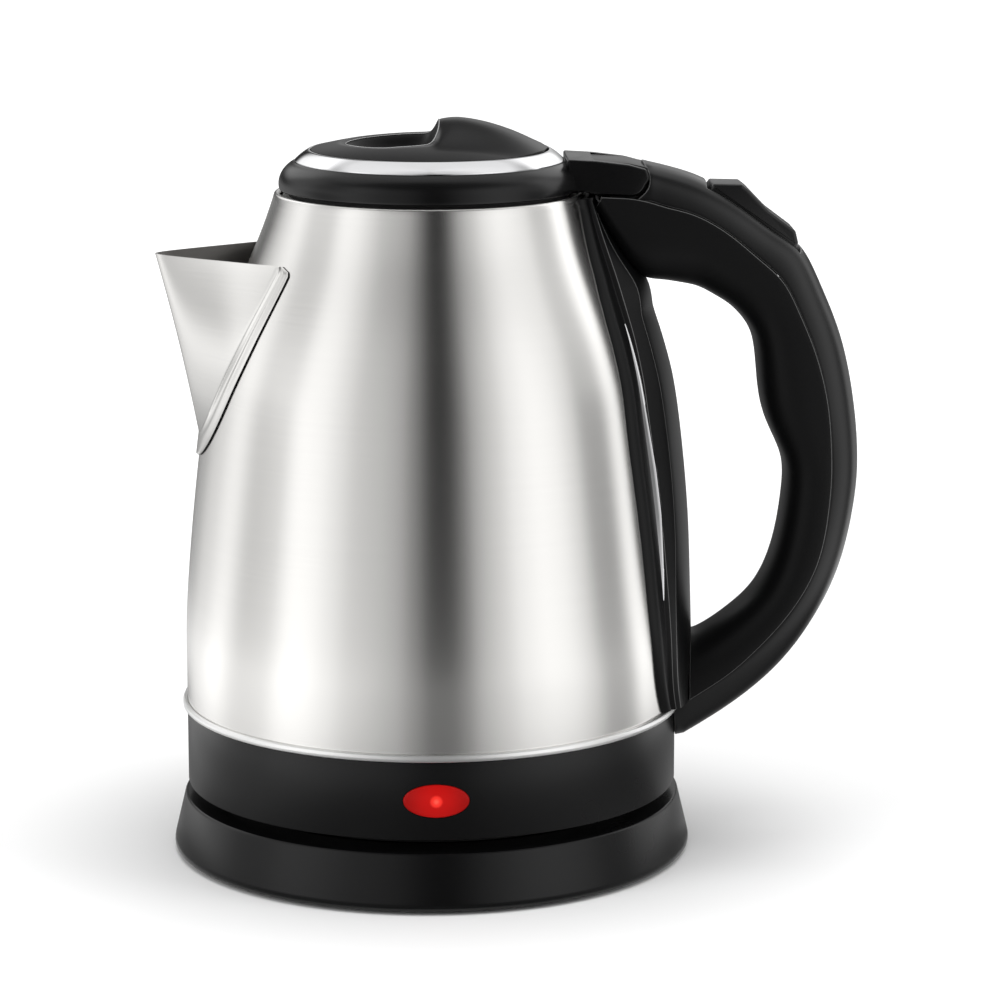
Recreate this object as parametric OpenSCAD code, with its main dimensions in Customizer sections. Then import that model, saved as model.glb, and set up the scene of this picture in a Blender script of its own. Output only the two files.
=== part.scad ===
// Cordless electric kettle on a round power base.
// Frame: the origin is on the table under the body's axis, +X points to the handle,
// -X to the spout, -Y to the side of the indicator lamp, +Z up. Millimetres.

/* [Power base] */
// Radius of the base skirt near the table
base_r = 80.5; // [79.5:0.5:86]
// How much wider the base's skirt is than its top rim
base_flare = 3.5; // [2:0.5:6]
// Height of the base's top above the table
base_h = 18; // [17:0.5:24]
// Wall of the base shell
base_wall = 2.4; // [1.8:0.1:3]
// Height of the base plate above the table
foot_h = 1.5; // [1:0.1:3]
// Distance from the base plate's edge to the rubber foot ring
foot_inset = 8; // [6:0.5:12]
// Width of the rubber foot ring
foot_ring_w = 6; // [4:0.5:8]
// Radius of the circle of base screws
base_screw_r = 50; // [40:1:54]
// Radius of the hole in the cord gland
gland_bore_r = 3.6; // [3:0.1:4]

/* [Connector] */
// Radius of the round contact tower on the base
tower_r = 14.5; // [14:0.25:17]
// Height of the contact tower above the base's top
tower_h = 15.5; // [13:0.5:16]
// Radius of the earth pin
earth_pin_r = 2; // [1.5:0.1:2.2]

/* [Lower housing] */
// Gap between the base's rim and the kettle's lower housing
reveal = 3.7; // [2.5:0.1:6]
// Height of the kettle's lower housing
housing_h = 24; // [23:0.5:30]
// Wall of the lower housing
housing_wall = 2.4; // [2:0.1:3]
// Height of the bright trim ring
trim_h = 2.3; // [1.5:0.1:4]
// How far the trim ring stands out of the housing
trim_proud = 1.4; // [0.8:0.1:2]
// Width of the oval indicator lens
lens_w = 19.6; // [14:0.2:24]
// Height of the oval indicator lens
lens_h = 10; // [7:0.2:13]

/* [Pot] */
// Radius of the steel body where it is widest
body_r = 76; // [72:0.5:77]
// Height of the steel body above the housing
body_h = 159.6; // [145:0.5:175]
// Radius of the steel body's rolled mouth
mouth_r = 46.4; // [43:0.2:50]
// Thickness of the steel
steel_t = 0.8; // [0.6:0.1:1]

/* [Spout] */
// How far the spout's tip stands out past the steel body's widest radius
spout_out = 7.8; // [4:0.2:14]
// Height of the spout from its point to its lip
spout_h = 55; // [45:0.5:65]
// Angle from the spout's middle to its corner on the body
spout_half_angle = 35; // [28:0.5:38]
// Width of the spout's welded flange at the lip
spout_flange_w = 5.5; // [4:0.25:7]
// Width of the spout's welded flange at the point
spout_flange_foot_w = 11; // [7:0.25:12]

/* [Lid] */
// Height of the black lid rim
lid_rim_h = 8.2; // [7:0.1:10]
// Width of the bright ring on the lid
lid_ring_w = 4.7; // [3:0.1:6]
// Height of the bright ring on the lid
lid_ring_h = 4; // [3:0.1:5]
// Height of the lid's hump above the bright ring
hump_h = 10; // [7:0.25:13]
// Half the width of the thumb scoop
scoop_half_w = 18.4; // [15:0.2:20]
// Depth of the thumb scoop below its rim
scoop_depth = 5.5; // [4.5:0.25:6]
// Wall of the lid's plastic parts
lid_wall = 2.2; // [1.8:0.1:2.6]
// Radius of the lid's hinge pin
hinge_pin_r = 1.5; // [1.2:0.1:2]

/* [Handle] */
// How far the handle stands out past the steel body's widest radius
handle_out = 55.9; // [50:0.1:68]
// Half the width of the handle
handle_half_w = 13.4; // [12.8:0.1:15]
// Wall of the handle shells
handle_wall = 2.2; // [1.8:0.1:2.5]

/* [Switch] */
// Width of the rocker
rocker_w = 16; // [14:0.25:16.4]
// Length of the rocker along the handle
rocker_l = 32; // [28:0.5:32.5]
// Radius of the rocker's pivot pin
rocker_pin_r = 1.2; // [0.9:0.05:1.5]

/* [Hidden] */

$fn = 96;
round_fn = 160;
small_fn = 32;
// Clearances of seats, of loose fits and of pins in their bores
seat = 0.3;
loose = 0.4;
running = 0.06;
eps = 0.01;

// ---- heights, from the table up
plate_t = 2.5;
plate_top = foot_h + plate_t;
skirt_z = foot_h - seat;
deck_z = base_h;
deck_under = deck_z - base_wall;
base_rim_r = base_r - base_flare;
foot_ring_r = base_rim_r - foot_inset - foot_ring_w / 2;
handle_reach = body_r + handle_out;
spout_reach = body_r + spout_out;
housing_z = base_h + reveal;
trim_z = housing_z + housing_h;
steel_z = trim_z + trim_h;
body_top = trim_z + body_h;
spout_drop = 18.8;
spout_top = body_top - spout_drop;
spout_point = spout_top - spout_h;

// ---- colours
black = [0.07, 0.07, 0.075];
soft_black = [0.11, 0.11, 0.115];
steel = [0.74, 0.73, 0.71];
bright = [0.86, 0.86, 0.87];
brass = [0.8, 0.62, 0.25];

// ---- screws
screw_r = 1.45;
screw_bore_r = screw_r + 0.05;
screw_hole_r = screw_r + 0.2;
head_r = 3;
head_h = 1.4;
boss_r = 4.5;

// ---- helpers
// Point at t of a Catmull-Rom curve from b to c
function curve_point(a, b, c, d, t) =
  0.5 * (2 * b + (c - a) * t + (2 * a - 5 * b + 4 * c - d) * t * t
    + (3 * b - a - 3 * c + d) * t * t * t);
// Smooth curve through the points p, with n steps from each to the next
function curve(p, n) = [
  for (i = [0 : len(p) - 2], k = [0 : n - 1])
    curve_point(p[max(i - 1, 0)], p[i], p[i + 1], p[min(i + 2, len(p) - 1)], k / n),
  p[len(p) - 1]];
function arc(cx, cy, r, a0, a1, n) = [
  for (i = [0 : n]) let (a = a0 + (a1 - a0) * i / n) [cx + r * cos(a), cy + r * sin(a)]];
function ellipse(a, b) = [for (i = [0 : 47]) [a * cos(i * 7.5), b * sin(i * 7.5)]];
function reversed(p) = [for (i = [len(p) - 1 : -1 : 0]) p[i]];
function mix(a, b, t) = a + (b - a) * t;
// x to the power p, keeping its sign
function signed_pow(x, p) = sign(x) * pow(abs(x), p);
function blend(t) = t <= 0 ? 0 : t >= 1 ? 1 : t * t * (3 - 2 * t);

// Plate drawn in the X-Z plane, its width centred on Y
module side_plate(points, width) {
  rotate([90, 0, 0])
    linear_extrude(height = width, center = true)
      polygon(points);
}
// Cylinder along Y through the point [x, z]
module cross_pin(x, z, r, length) {
  translate([x, 0, z])
    rotate([90, 0, 0])
      cylinder(r = r, h = length, center = true, $fn = 48);
}
// Cylinder along +X from the point [x, y, z]
module along_x(x, y, z, r, length) {
  translate([x, y, z])
    rotate([0, 90, 0])
      cylinder(r = r, h = length, $fn = small_fn);
}
// n copies round the axis at radius r
module around(n, r, start) {
  for (i = [0 : n - 1])
    rotate(start + 360 * i / n)
      translate([r, 0, 0])
        children();
}
module ring(r_in, r_out, z0, z1) {
  translate([0, 0, z0])
    rotate_extrude($fn = round_fn)
      translate([r_in, 0])
        square([r_out - r_in, z1 - z0]);
}
// Screw that points up, with its head from z = 0
module screw(length) {
  cylinder(r = head_r, h = head_h, $fn = small_fn);
  cylinder(r = screw_r, h = head_h + length, $fn = small_fn);
}

// Triangles of a grid of rows by cols points whose first index is at, skipping the
// cells from row r0 to r1 and column c0 to c1
function skin(rows, cols, at, flip, r0 = -1, r1 = -1, c0 = -1, c1 = -1) = [
  for (i = [0 : rows - 2], j = [0 : cols - 2])
    if (!(i >= r0 && i < r1 && j >= c0 && j < c1))
      let (a = at + i * cols + j, b = a + 1, c = b + cols, d = a + cols)
      each flip ? [[a, b, c], [a, c, d]] : [[a, c, b], [a, d, c]]];
// Wall between two skins along the list of index pairs [outer, inner]
function wall_strip(pairs, flip) = [
  for (k = [0 : len(pairs) - 2])
    let (a = pairs[k][0], b = pairs[k + 1][0], c = pairs[k + 1][1], d = pairs[k][1])
    each flip ? [[a, b, c], [a, c, d]] : [[a, c, b], [a, d, c]]];
// Closed shell from two grids of equal size, with an optional window
module shell(outer, inner, r0 = -1, r1 = -1, c0 = -1, c1 = -1) {
  rows = len(outer);
  cols = len(outer[0]);
  far = rows * cols;
  function pair(i, j) = [i * cols + j, far + i * cols + j];
  points = [for (row = outer) each row, for (row = inner) each row];
  window = r1 <= r0 ? [] : concat(
    wall_strip([for (j = [c0 : c1]) pair(r0, j)], true),
    wall_strip([for (i = [r0 : r1]) pair(i, c1)], true),
    wall_strip([for (j = [c1 : -1 : c0]) pair(r1, j)], true),
    wall_strip([for (i = [r1 : -1 : r0]) pair(i, c0)], true));
  polyhedron(points = points, convexity = 10, faces = concat(
    skin(rows, cols, 0, true, r0, r1, c0, c1),
    skin(rows, cols, far, false, r0, r1, c0, c1),
    wall_strip([for (j = [0 : cols - 1]) pair(0, j)], false),
    wall_strip([for (i = [0 : rows - 1]) pair(i, cols - 1)], false),
    wall_strip([for (j = [cols - 1 : -1 : 0]) pair(rows - 1, j)], false),
    wall_strip([for (i = [rows - 1 : -1 : 0]) pair(i, 0)], false),
    window));
}

// ---- outline of the steel body
straight_h = 16.3;
lip_drop = 2.3;
neck_step = 1.5;
// [share of the shoulder's height, share of its inward step]
shoulder = [[0, 0], [0.12, 0.014], [0.34, 0.107], [0.56, 0.242], [0.67, 0.356],
  [0.78, 0.541], [0.912, 0.826], [1, 1]];
neck_r = mouth_r + neck_step;
neck_z = body_top - lip_drop;
shoulder_z = trim_z + straight_h;
shoulder_line = [for (p = curve(shoulder, 3))
  [mix(body_r, neck_r, p[1]), mix(shoulder_z, neck_z, p[0])]];
radius_table = concat([[0, body_r]], [for (p = shoulder_line) [p[1], p[0]]],
  [[body_top, mouth_r]]);
function body_radius(z) = lookup(z, radius_table);
lip_r = mouth_r - 0.5;
lip_line = [[mouth_r + 0.9, body_top - 0.9], [mouth_r, body_top - 0.15], [lip_r, body_top],
  [lip_r - 0.3, body_top - 0.6], [lip_r, body_top - 1.3]];
// The body's outline moved outward by d, from height z0 to height z1
function body_outline(d, z0, z1) = concat(
  [[body_radius(z0) + d, z0]],
  [for (p = shoulder_line) if (p[1] > z0 + 1 && p[1] < z1 - 1) [p[0] + d, p[1]]],
  [[body_radius(z1) + d, z1]]);

// ==== power base ==========================================================
rim_round = 0.8;
skirt_round = 1.4;
deck_hole_r = tower_r + seat;
plate_r = base_rim_r;
gland_r = gland_bore_r + 1.4;
gland_z = (plate_top + deck_under) / 2;
gland_l = 9.2;
gland_y = base_rim_r + 1.2;
base_boss_h = deck_under - plate_top;

module base_shell() {
  color(black)
    difference() {
      union() {
        rotate_extrude($fn = round_fn)
          polygon(concat(
            arc(base_r - skirt_round, skirt_z + skirt_round, skirt_round, -80, 10, 5),
            arc(base_rim_r - rim_round, deck_z - rim_round, rim_round, 10, 90, 4),
            [[deck_hole_r, deck_z], [deck_hole_r, deck_under],
              [base_rim_r - 1.5 * base_wall, deck_under],
              [plate_r + seat, plate_top], [plate_r + seat, skirt_z]]));
        around(3, base_screw_r, 0)
          translate([0, 0, plate_top])
            cylinder(r = boss_r, h = base_boss_h + eps, $fn = 48);
      }
      around(3, base_screw_r, 0)
        translate([0, 0, plate_top - eps])
          cylinder(r = screw_bore_r, h = base_boss_h - 1, $fn = small_fn);
      translate([0, gland_y + 3, gland_z])
        rotate([90, 0, 0])
          cylinder(r = gland_r + running, h = gland_l + 4, $fn = 48);
    }
}

groove_h = 0.8;
module base_plate() {
  color(soft_black)
    difference() {
      translate([0, 0, foot_h])
        cylinder(r = plate_r, h = plate_t, $fn = round_fn);
      ring(foot_ring_r - foot_ring_w / 2, foot_ring_r + foot_ring_w / 2, 0, foot_h + groove_h);
      around(3, base_screw_r, 0) {
        cylinder(r = screw_hole_r, h = plate_top + 1, $fn = small_fn);
        cylinder(r = head_r + seat, h = foot_h + head_h, $fn = small_fn);
      }
    }
}

module foot_ring() {
  color([0.13, 0.13, 0.13])
    ring(foot_ring_r - foot_ring_w / 2, foot_ring_r + foot_ring_w / 2, 0, foot_h + groove_h);
}

module base_screws() {
  color(bright)
    around(3, base_screw_r, 0)
      translate([0, 0, foot_h])
        screw(base_boss_h - 2);
}

module cord_gland() {
  color(black)
    translate([0, gland_y, gland_z])
      rotate([90, 0, 0])
        difference() {
          cylinder(r = gland_r, h = gland_l, $fn = 48);
          translate([0, 0, -1])
            cylinder(r = gland_bore_r, h = gland_l + 2, $fn = 48);
        }
}

// ---- contact tower: round channels with ring contacts, so the kettle can turn freely
tower_top = deck_z + tower_h;
tower_foot_w = 8;
tower_foot_h = 2;
channel_w = 2;
channel_radii = [tower_r * 0.5, tower_r * 0.76];
channel_floor = deck_z + 5;
earth_bore_r = earth_pin_r + loose;
contact_t = 1;
contact_gap = 0.1;

module base_connector() {
  color(soft_black)
    difference() {
      union() {
        translate([0, 0, plate_top])
          cylinder(r = tower_r, h = tower_top - plate_top);
        translate([0, 0, plate_top])
          cylinder(r = tower_r + tower_foot_w, h = tower_foot_h);
      }
      for (r = channel_radii)
        ring(r - channel_w / 2, r + channel_w / 2, channel_floor, tower_top + 1);
      translate([0, 0, channel_floor])
        cylinder(r = earth_bore_r, h = tower_h);
    }
}

module base_contacts() {
  color(brass) {
    for (r = channel_radii)
      ring(r - channel_w / 2 + contact_gap, r + channel_w / 2 - contact_gap,
        channel_floor, channel_floor + contact_t);
    translate([0, 0, channel_floor])
      cylinder(r = earth_bore_r - contact_gap, h = contact_t);
  }
}

// ---- collar that turns on the tower and carries the kettle's connector
collar_h = 2;
collar_w = 5;
collar_z = deck_z + 0.2;
module connector_collar() {
  color([0.2, 0.2, 0.205])
    ring(tower_r + running + 0.02, tower_r + collar_w, collar_z, collar_z + collar_h);
}

// ==== pot =================================================================
strainer_hole_r = 2;
strainer_pitch = 7.5;
strainer_rows = floor((spout_h - 14) / strainer_pitch);
strainer_share = 0.8;
steam_hole_r = 2.5;
steam_hole_z = body_top - 12;
pot_flange_w = 6;
spout_point_angle = 6;
spout_angle_power = 0.44;
function spout_angle(z) = let (t = max((z - spout_point) / spout_h, 0))
  max(spout_half_angle * pow(t, spout_angle_power), spout_point_angle);

module strainer_holes() {
  for (k = [1 : strainer_rows]) {
    z = spout_point + 6 + k * strainer_pitch;
    step = strainer_pitch / body_radius(z) * 180 / PI;
    reach = floor(spout_angle(z) * strainer_share / step);
    for (i = [-reach : reach])
      rotate(180 + i * step)
        along_x(body_radius(z) - 6, 0, z, strainer_hole_r, 12);
  }
}

module pot() {
  color(steel)
    difference() {
      rotate_extrude($fn = round_fn)
        polygon(concat(
          [[body_r, trim_z]], shoulder_line, lip_line,
          [for (p = reversed(shoulder_line)) if (p[1] < neck_z - 2) [p[0] - steel_t, p[1]]],
          [[body_r - steel_t, trim_z + steel_t],
            [body_r - pot_flange_w, trim_z + steel_t], [body_r - pot_flange_w, trim_z]]));
      strainer_holes();
      along_x(neck_r - 4, 0, steam_hole_z, steam_hole_r, 14);
    }
}

floor_t = 1;
floor_z = trim_z + steel_t;
floor_r = body_r - steel_t - 0.2;
floor_edge_h = 5.2;
module pot_floor() {
  color(steel) {
    translate([0, 0, floor_z])
      cylinder(r = floor_r, h = floor_t, $fn = round_fn);
    ring(floor_r - floor_t, floor_r, floor_z, floor_z + floor_edge_h);
  }
}

heat_plate_t = 3;
heat_plate_r = 58;
heat_plate_z = floor_z - heat_plate_t;
module heat_plate() {
  color([0.75, 0.75, 0.76])
    translate([0, 0, heat_plate_z])
      cylinder(r = heat_plate_r, h = heat_plate_t, $fn = round_fn);
}

element_r = 46;
element_tube_r = 3.4;
element_z = heat_plate_z - element_tube_r - 0.1;
element_gap_angle = 60;
tail_r = 2.4;
tail_h = 9;
module heating_element() {
  color([0.4, 0.4, 0.42])
    translate([0, 0, element_z]) {
      rotate(element_gap_angle / 2)
        rotate_extrude(angle = 360 - element_gap_angle)
          translate([element_r, 0])
            circle(r = element_tube_r, $fn = small_fn);
      for (side = [-1, 1])
        rotate(side * (element_gap_angle / 2 + 3))
          translate([element_r, 0, -tail_h])
            cylinder(r = tail_r, h = tail_h, $fn = small_fn);
    }
}

// ---- connector and thermostat under the pot
cover_t = 2.2;
cover_z = housing_z + seat;
cover_top = cover_z + cover_t;
socket_r = tower_r + 0.7;
socket_wall = 2.5;
socket_z = collar_z + collar_h + seat;
socket_top = tower_top + 0.7;
socket_flange_w = 8;
module kettle_connector() {
  color(soft_black)
    difference() {
      union() {
        translate([0, 0, socket_z])
          cylinder(r = socket_r + socket_wall, h = socket_top + socket_wall - socket_z);
        translate([0, 0, cover_top])
          cylinder(r = socket_r + socket_wall + socket_flange_w, h = 2);
      }
      translate([0, 0, socket_z - 1])
        cylinder(r = socket_r, h = socket_top - socket_z + 1);
    }
}

blade_t = 0.7;
blade_angle = 40;
pin_z = channel_floor + contact_t + loose;
module connector_pins() {
  color(brass) {
    translate([0, 0, pin_z])
      cylinder(r = earth_pin_r, h = socket_top - pin_z, $fn = 48);
    for (k = [0, 1])
      translate([0, 0, pin_z])
        rotate(k * 180)
          rotate_extrude(angle = blade_angle)
            translate([channel_radii[k] - blade_t / 2, 0])
              square([blade_t, socket_top - pin_z]);
  }
}

thermostat_r = 13;
thermostat_z = socket_top + socket_wall;
module thermostat() {
  color([0.85, 0.83, 0.78])
    translate([0, 0, thermostat_z])
      cylinder(r = thermostat_r, h = heat_plate_z - seat - thermostat_z);
}

// ==== lower housing =======================================================
housing_in_r = body_r - housing_wall;
housing_rim_w = 4;
housing_rim_h = 1.8;
bottom_screw_r = 56;
bottom_boss_l = 14;
lens_z = housing_z + 12.2;
lens_fit = 0.15;
lead_hole_r = 3.2;
root_screw_y = 7;
root_screw_z = trim_z - 5.2;

module lens_prism(grow, y0, y1) {
  translate([0, -y0, lens_z])
    rotate([90, 0, 0])
      linear_extrude(height = y1 - y0)
        polygon(ellipse(lens_w / 2 + grow, lens_h / 2 + grow));
}

module lower_housing() {
  color(black)
    difference() {
      union() {
        ring(housing_in_r, body_r, housing_z, trim_z);
        ring(housing_in_r - housing_rim_w, body_r - eps, trim_z - housing_rim_h, trim_z);
        around(3, bottom_screw_r, 60) {
          translate([0, 0, cover_top])
            cylinder(r = boss_r, h = bottom_boss_l, $fn = 48);
          translate([boss_r - 1, -1, cover_top])
            cube([housing_in_r - bottom_screw_r - boss_r + 2, 2, bottom_boss_l]);
        }
      }
      around(3, bottom_screw_r, 60)
        translate([0, 0, cover_top - eps])
          cylinder(r = screw_bore_r, h = bottom_boss_l - 2, $fn = small_fn);
      lens_prism(lens_fit, housing_in_r - 5, body_r + 5);
      along_x(housing_in_r - 3, 0, root_screw_z, lead_hole_r, housing_wall + 6);
      for (side = [-1, 1])
        along_x(housing_in_r - 3, side * root_screw_y, root_screw_z, screw_hole_r,
          housing_wall + 6);
    }
}

cover_ring_r = 60;
cover_ring_w = 5;
module bottom_cover() {
  color(soft_black)
    difference() {
      union() {
        translate([0, 0, cover_z])
          cylinder(r = housing_in_r - seat, h = cover_t, $fn = round_fn);
        ring(cover_ring_r, cover_ring_r + cover_ring_w, deck_z + seat, cover_z + eps);
      }
      translate([0, 0, cover_z - 1])
        cylinder(r = socket_r + socket_wall + loose, h = cover_t + 2);
      around(3, bottom_screw_r - 1, 60)
        translate([1, 0, 0]) {
          cylinder(r = screw_hole_r, h = cover_top + 1, $fn = small_fn);
          cylinder(r = head_r + seat, h = cover_z + head_h, $fn = small_fn);
        }
    }
}

module bottom_screws() {
  color(bright)
    around(3, bottom_screw_r, 60)
      translate([0, 0, cover_z])
        screw(bottom_boss_l - 4);
}

trim_r = body_r + trim_proud;
module trim_ring() {
  trim_in = body_r + 0.1;
  trim_mid = trim_z + trim_h / 2 + 0.1;
  bead_r = trim_h / 2 - 0.1;
  color(bright)
    rotate_extrude($fn = round_fn)
      polygon(concat([[trim_in, trim_mid + bead_r], [trim_in, trim_mid - bead_r]],
        arc(trim_r - bead_r, trim_mid, bead_r, -80, 80, 8)));
}

// ---- indicator
lens_proud = 0.8;
lens_rim = 1.3;
lens_rim_t = 2;
module indicator_lens() {
  color([0.8, 0.05, 0.04]) {
    intersection() {
      lens_prism(0, housing_in_r - lens_rim_t, body_r + 5);
      cylinder(r = body_r + lens_proud, h = trim_z, $fn = round_fn);
    }
    intersection() {
      lens_prism(lens_rim, housing_in_r - lens_rim_t - 5, body_r);
      ring(housing_in_r - lens_rim_t, housing_in_r - seat, 0, trim_z);
    }
  }
}

lamp_r = 2.5;
lamp_l = 9;
lamp_y = housing_in_r - lens_rim_t - seat;
module indicator_lamp() {
  color([0.95, 0.35, 0.3])
    translate([0, -lamp_y, lens_z])
      rotate([-90, 0, 0])
        cylinder(r = lamp_r, h = lamp_l, $fn = 48);
}

holder_w = 9;
holder_l = 6;
module lamp_holder() {
  color([0.9, 0.9, 0.88])
    difference() {
      translate([-holder_w / 2, -lamp_y + 1.5, cover_top])
        cube([holder_w, holder_l, lens_z + holder_w / 2 - cover_top]);
      translate([0, -lamp_y, lens_z])
        rotate([-90, 0, 0])
          cylinder(r = lamp_r + running, h = lamp_l + 2, $fn = 48);
    }
}

// ==== spout ===============================================================
// A folded sheet: rows run up it, columns run across it from flange edge to flange edge.
spout_t = 0.8;
spout_gap = 0.15;
spout_rows = 12;
spout_cols = 9;
spout_sag = 0.6;
nose_power = 1.22;
flange_tip = 6.5;
row_power = 1.5;
// [share of the flange tip's length below the point, share of the flange's width]
flange_tip_rows = [[1, 0.3], [0.75, 0.7], [0.4, 0.92]];

function sheet_r(z) = body_radius(z) + spout_gap;
function on_body(z, a) = [sheet_r(z) * cos(a), sheet_r(z) * sin(a), z];
function flange_turn(z) = let (t = max((z - spout_point) / spout_h, 0))
  mix(spout_flange_foot_w, spout_flange_w, t) / sheet_r(z) * 180 / PI;
function nose_x(t) =
  mix(sheet_r(spout_point), spout_reach - spout_t, t) - spout_sag * sin(180 * t);
// Point of the folded sheet at share t of its height and c = -1 to 1 across it
function fold_point(t, c) =
  let (z = mix(spout_point, spout_top, t), k = on_body(z, spout_angle(z)),
    s = pow(abs(c), nose_power), y = c * k[1])
  [max(mix(nose_x(t), k[0], s), sqrt(pow(sheet_r(z), 2) - y * y)), y, z];
function spout_row(t) =
  let (z = mix(spout_point, spout_top, t), a = spout_angle(z), f = flange_turn(z))
  concat([on_body(z, -a - f), on_body(z, -a - f / 2)],
    [for (j = [-spout_cols : spout_cols]) fold_point(t, j / spout_cols)],
    [on_body(z, a + f / 2), on_body(z, a + f)]);
function tip_row(p) =
  let (z = spout_point - p[0] * flange_tip, a = (spout_point_angle + flange_turn(z)) * p[1])
  [for (j = [-spout_cols - 2 : spout_cols + 2]) on_body(z, a * j / (spout_cols + 2))];
spout_inner = reversed(concat([for (p = flange_tip_rows) tip_row(p)],
  [for (i = [0 : spout_rows]) spout_row(pow(i / spout_rows, row_power))]));
// Plan normal of a row at column j
function plan_normal(row, j) =
  let (d = row[min(j + 1, len(row) - 1)] - row[max(j - 1, 0)])
  [d[1], -d[0], 0] / norm([d[0], d[1]]);
spout_outer = [for (row = spout_inner)
  [for (j = [0 : len(row) - 1]) row[j] + spout_t * plan_normal(row, j)]];

module spout() {
  color(steel)
    rotate(180)
      shell(spout_outer, spout_inner);
}

// ==== spine: the black strip between the pot and the handle ===============
spine_z0 = steel_z + seat;
spine_z1 = body_top - 3;
flange_t = 2;
rib_gap = seat + flange_t + seat;
// [share of the spine's height, half width of the flange, of the rib's foot, of its top]
spine_widths = [[0, 30, 26.5, 25.5], [0.065, 34.6, 30.3, 29], [0.2, 38.2, 32, 29.8],
  [0.36, 38.8, 32, 27.3], [0.52, 38.9, 31.9, 26], [0.64, 37.2, 31, 25.4],
  [0.76, 33.9, 27, 23], [0.86, 28.4, 22, 18.5], [0.94, 22.2, 16.4, 14.6],
  [1, 17.5, 13.6, 12]];
// [share of the spine's height, how far the rib stands out of the pot]
rib_proud = [[0, 4.9], [0.3, 5], [0.42, 6.4], [0.6, 6.7], [0.76, 6.8], [0.8, 7.6],
  [0.835, 8.6], [0.87, 7.4], [0.92, 5.2], [1, 3.4]];
spine_shape = curve(spine_widths, 3);
function spine_z(share) = mix(spine_z0, spine_z1, share);
function rib_out(z) = lookup((z - spine_z0) / (spine_z1 - spine_z0), rib_proud);
function rib_radius(z) = body_radius(z) + rib_out(z);
// Block along X with the outline of column k of the widths, from height z0
module spine_block(k, inset) {
  right = [for (p = spine_shape) [p[k] - inset, spine_z(p[0])]];
  left = [for (p = reversed(spine_shape)) [inset - p[k], spine_z(p[0])]];
  rotate([90, 0, 90])
    linear_extrude(height = handle_reach)
      polygon(concat(right, left));
}
// Shell of revolution between two outlines
module body_shell(inner_line, outer_line) {
  rotate_extrude($fn = round_fn)
    polygon(concat(outer_line, reversed(inner_line)));
}
rib_line = [for (s = [0 : 0.04 : 1]) [rib_radius(spine_z(s)), spine_z(s)]];

module spine_flange() {
  color(black)
    difference() {
      intersection() {
        body_shell(body_outline(seat, spine_z0, spine_z1),
          body_outline(seat + flange_t, spine_z0, spine_z1));
        spine_block(1, 0);
      }
      along_x(0, 0, steam_hole_z, steam_hole_r, handle_reach);
    }
}

module spine_rib() {
  foot_share = 0.5;
  foot_line = [for (s = [0 : 0.04 : 1])
    [body_radius(spine_z(s)) + mix(rib_gap, rib_out(spine_z(s)), foot_share), spine_z(s)]];
  inner_line = body_outline(rib_gap, spine_z0, spine_z1);
  color(black)
    difference() {
      union() {
        intersection() {
          body_shell(inner_line, foot_line);
          spine_block(2, 0);
        }
        intersection() {
          body_shell(inner_line, rib_line);
          spine_block(3, 0);
        }
      }
      along_x(0, 0, steam_hole_z, steam_hole_r, handle_reach);
    }
}

// ==== lid hinge ===========================================================
hinge_x = mouth_r + 13.8;
hinge_z = body_top + 4.5;
knuckle_r = 5.6;
knuckle_low_r = 4.9;
knuckle_top = 4.4;
ear_corner = 36;
tongue_r = 11.9;
tongue_half_w = 10;
ear_gap = 0.4;
ear_t = 3.4;
ear_rise = 0.7;
ear_out = tongue_half_w + ear_gap + ear_t;
seam_z = hinge_z - knuckle_low_r - seat;

// ==== handle ==============================================================
// The stations are drawn at these sizes and fitted to the driving ones.
drawn_hinge = [60.2, 209.8];
drawn_foot_z = 21.7;
drawn_reach = [131.9, 122.5];
drawn_body = [76, 39];
z_scale = (hinge_z - housing_z) / (drawn_hinge[1] - drawn_foot_z);
// Share of the way down from the hinge to the housing's lower edge
function lowness(z) = (drawn_hinge[1] - z) / (drawn_hinge[1] - drawn_foot_z);
// The stretch along X and the lean at the foot that bring the handle's outermost point to
// its reach and its foot to the body's side
span_reach = drawn_reach[0] - drawn_hinge[0];
span_body = drawn_body[0] - drawn_hinge[0];
low_reach = lowness(drawn_reach[1]);
low_body = lowness(drawn_body[1]);
fit_det = span_reach * low_body - span_body * low_reach;
x_scale = (low_body * (handle_reach - hinge_x) - low_reach * (body_r - hinge_x)) / fit_det;
x_lean = (span_reach * (body_r - hinge_x) - span_body * (handle_reach - hinge_x)) / fit_det;
function fitted(x, z) =
  [hinge_x + (x - drawn_hinge[0]) * x_scale + x_lean * lowness(z),
    housing_z + (z - drawn_foot_z) * z_scale];
// A station: outer point, inner point, width share, seam share from the outer side,
// and the power of its rounded section
function station(ox, oz, ix, iz, w, seam, power) =
  concat(fitted(ox, oz), fitted(ix, iz), [w, seam, power]);
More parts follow.
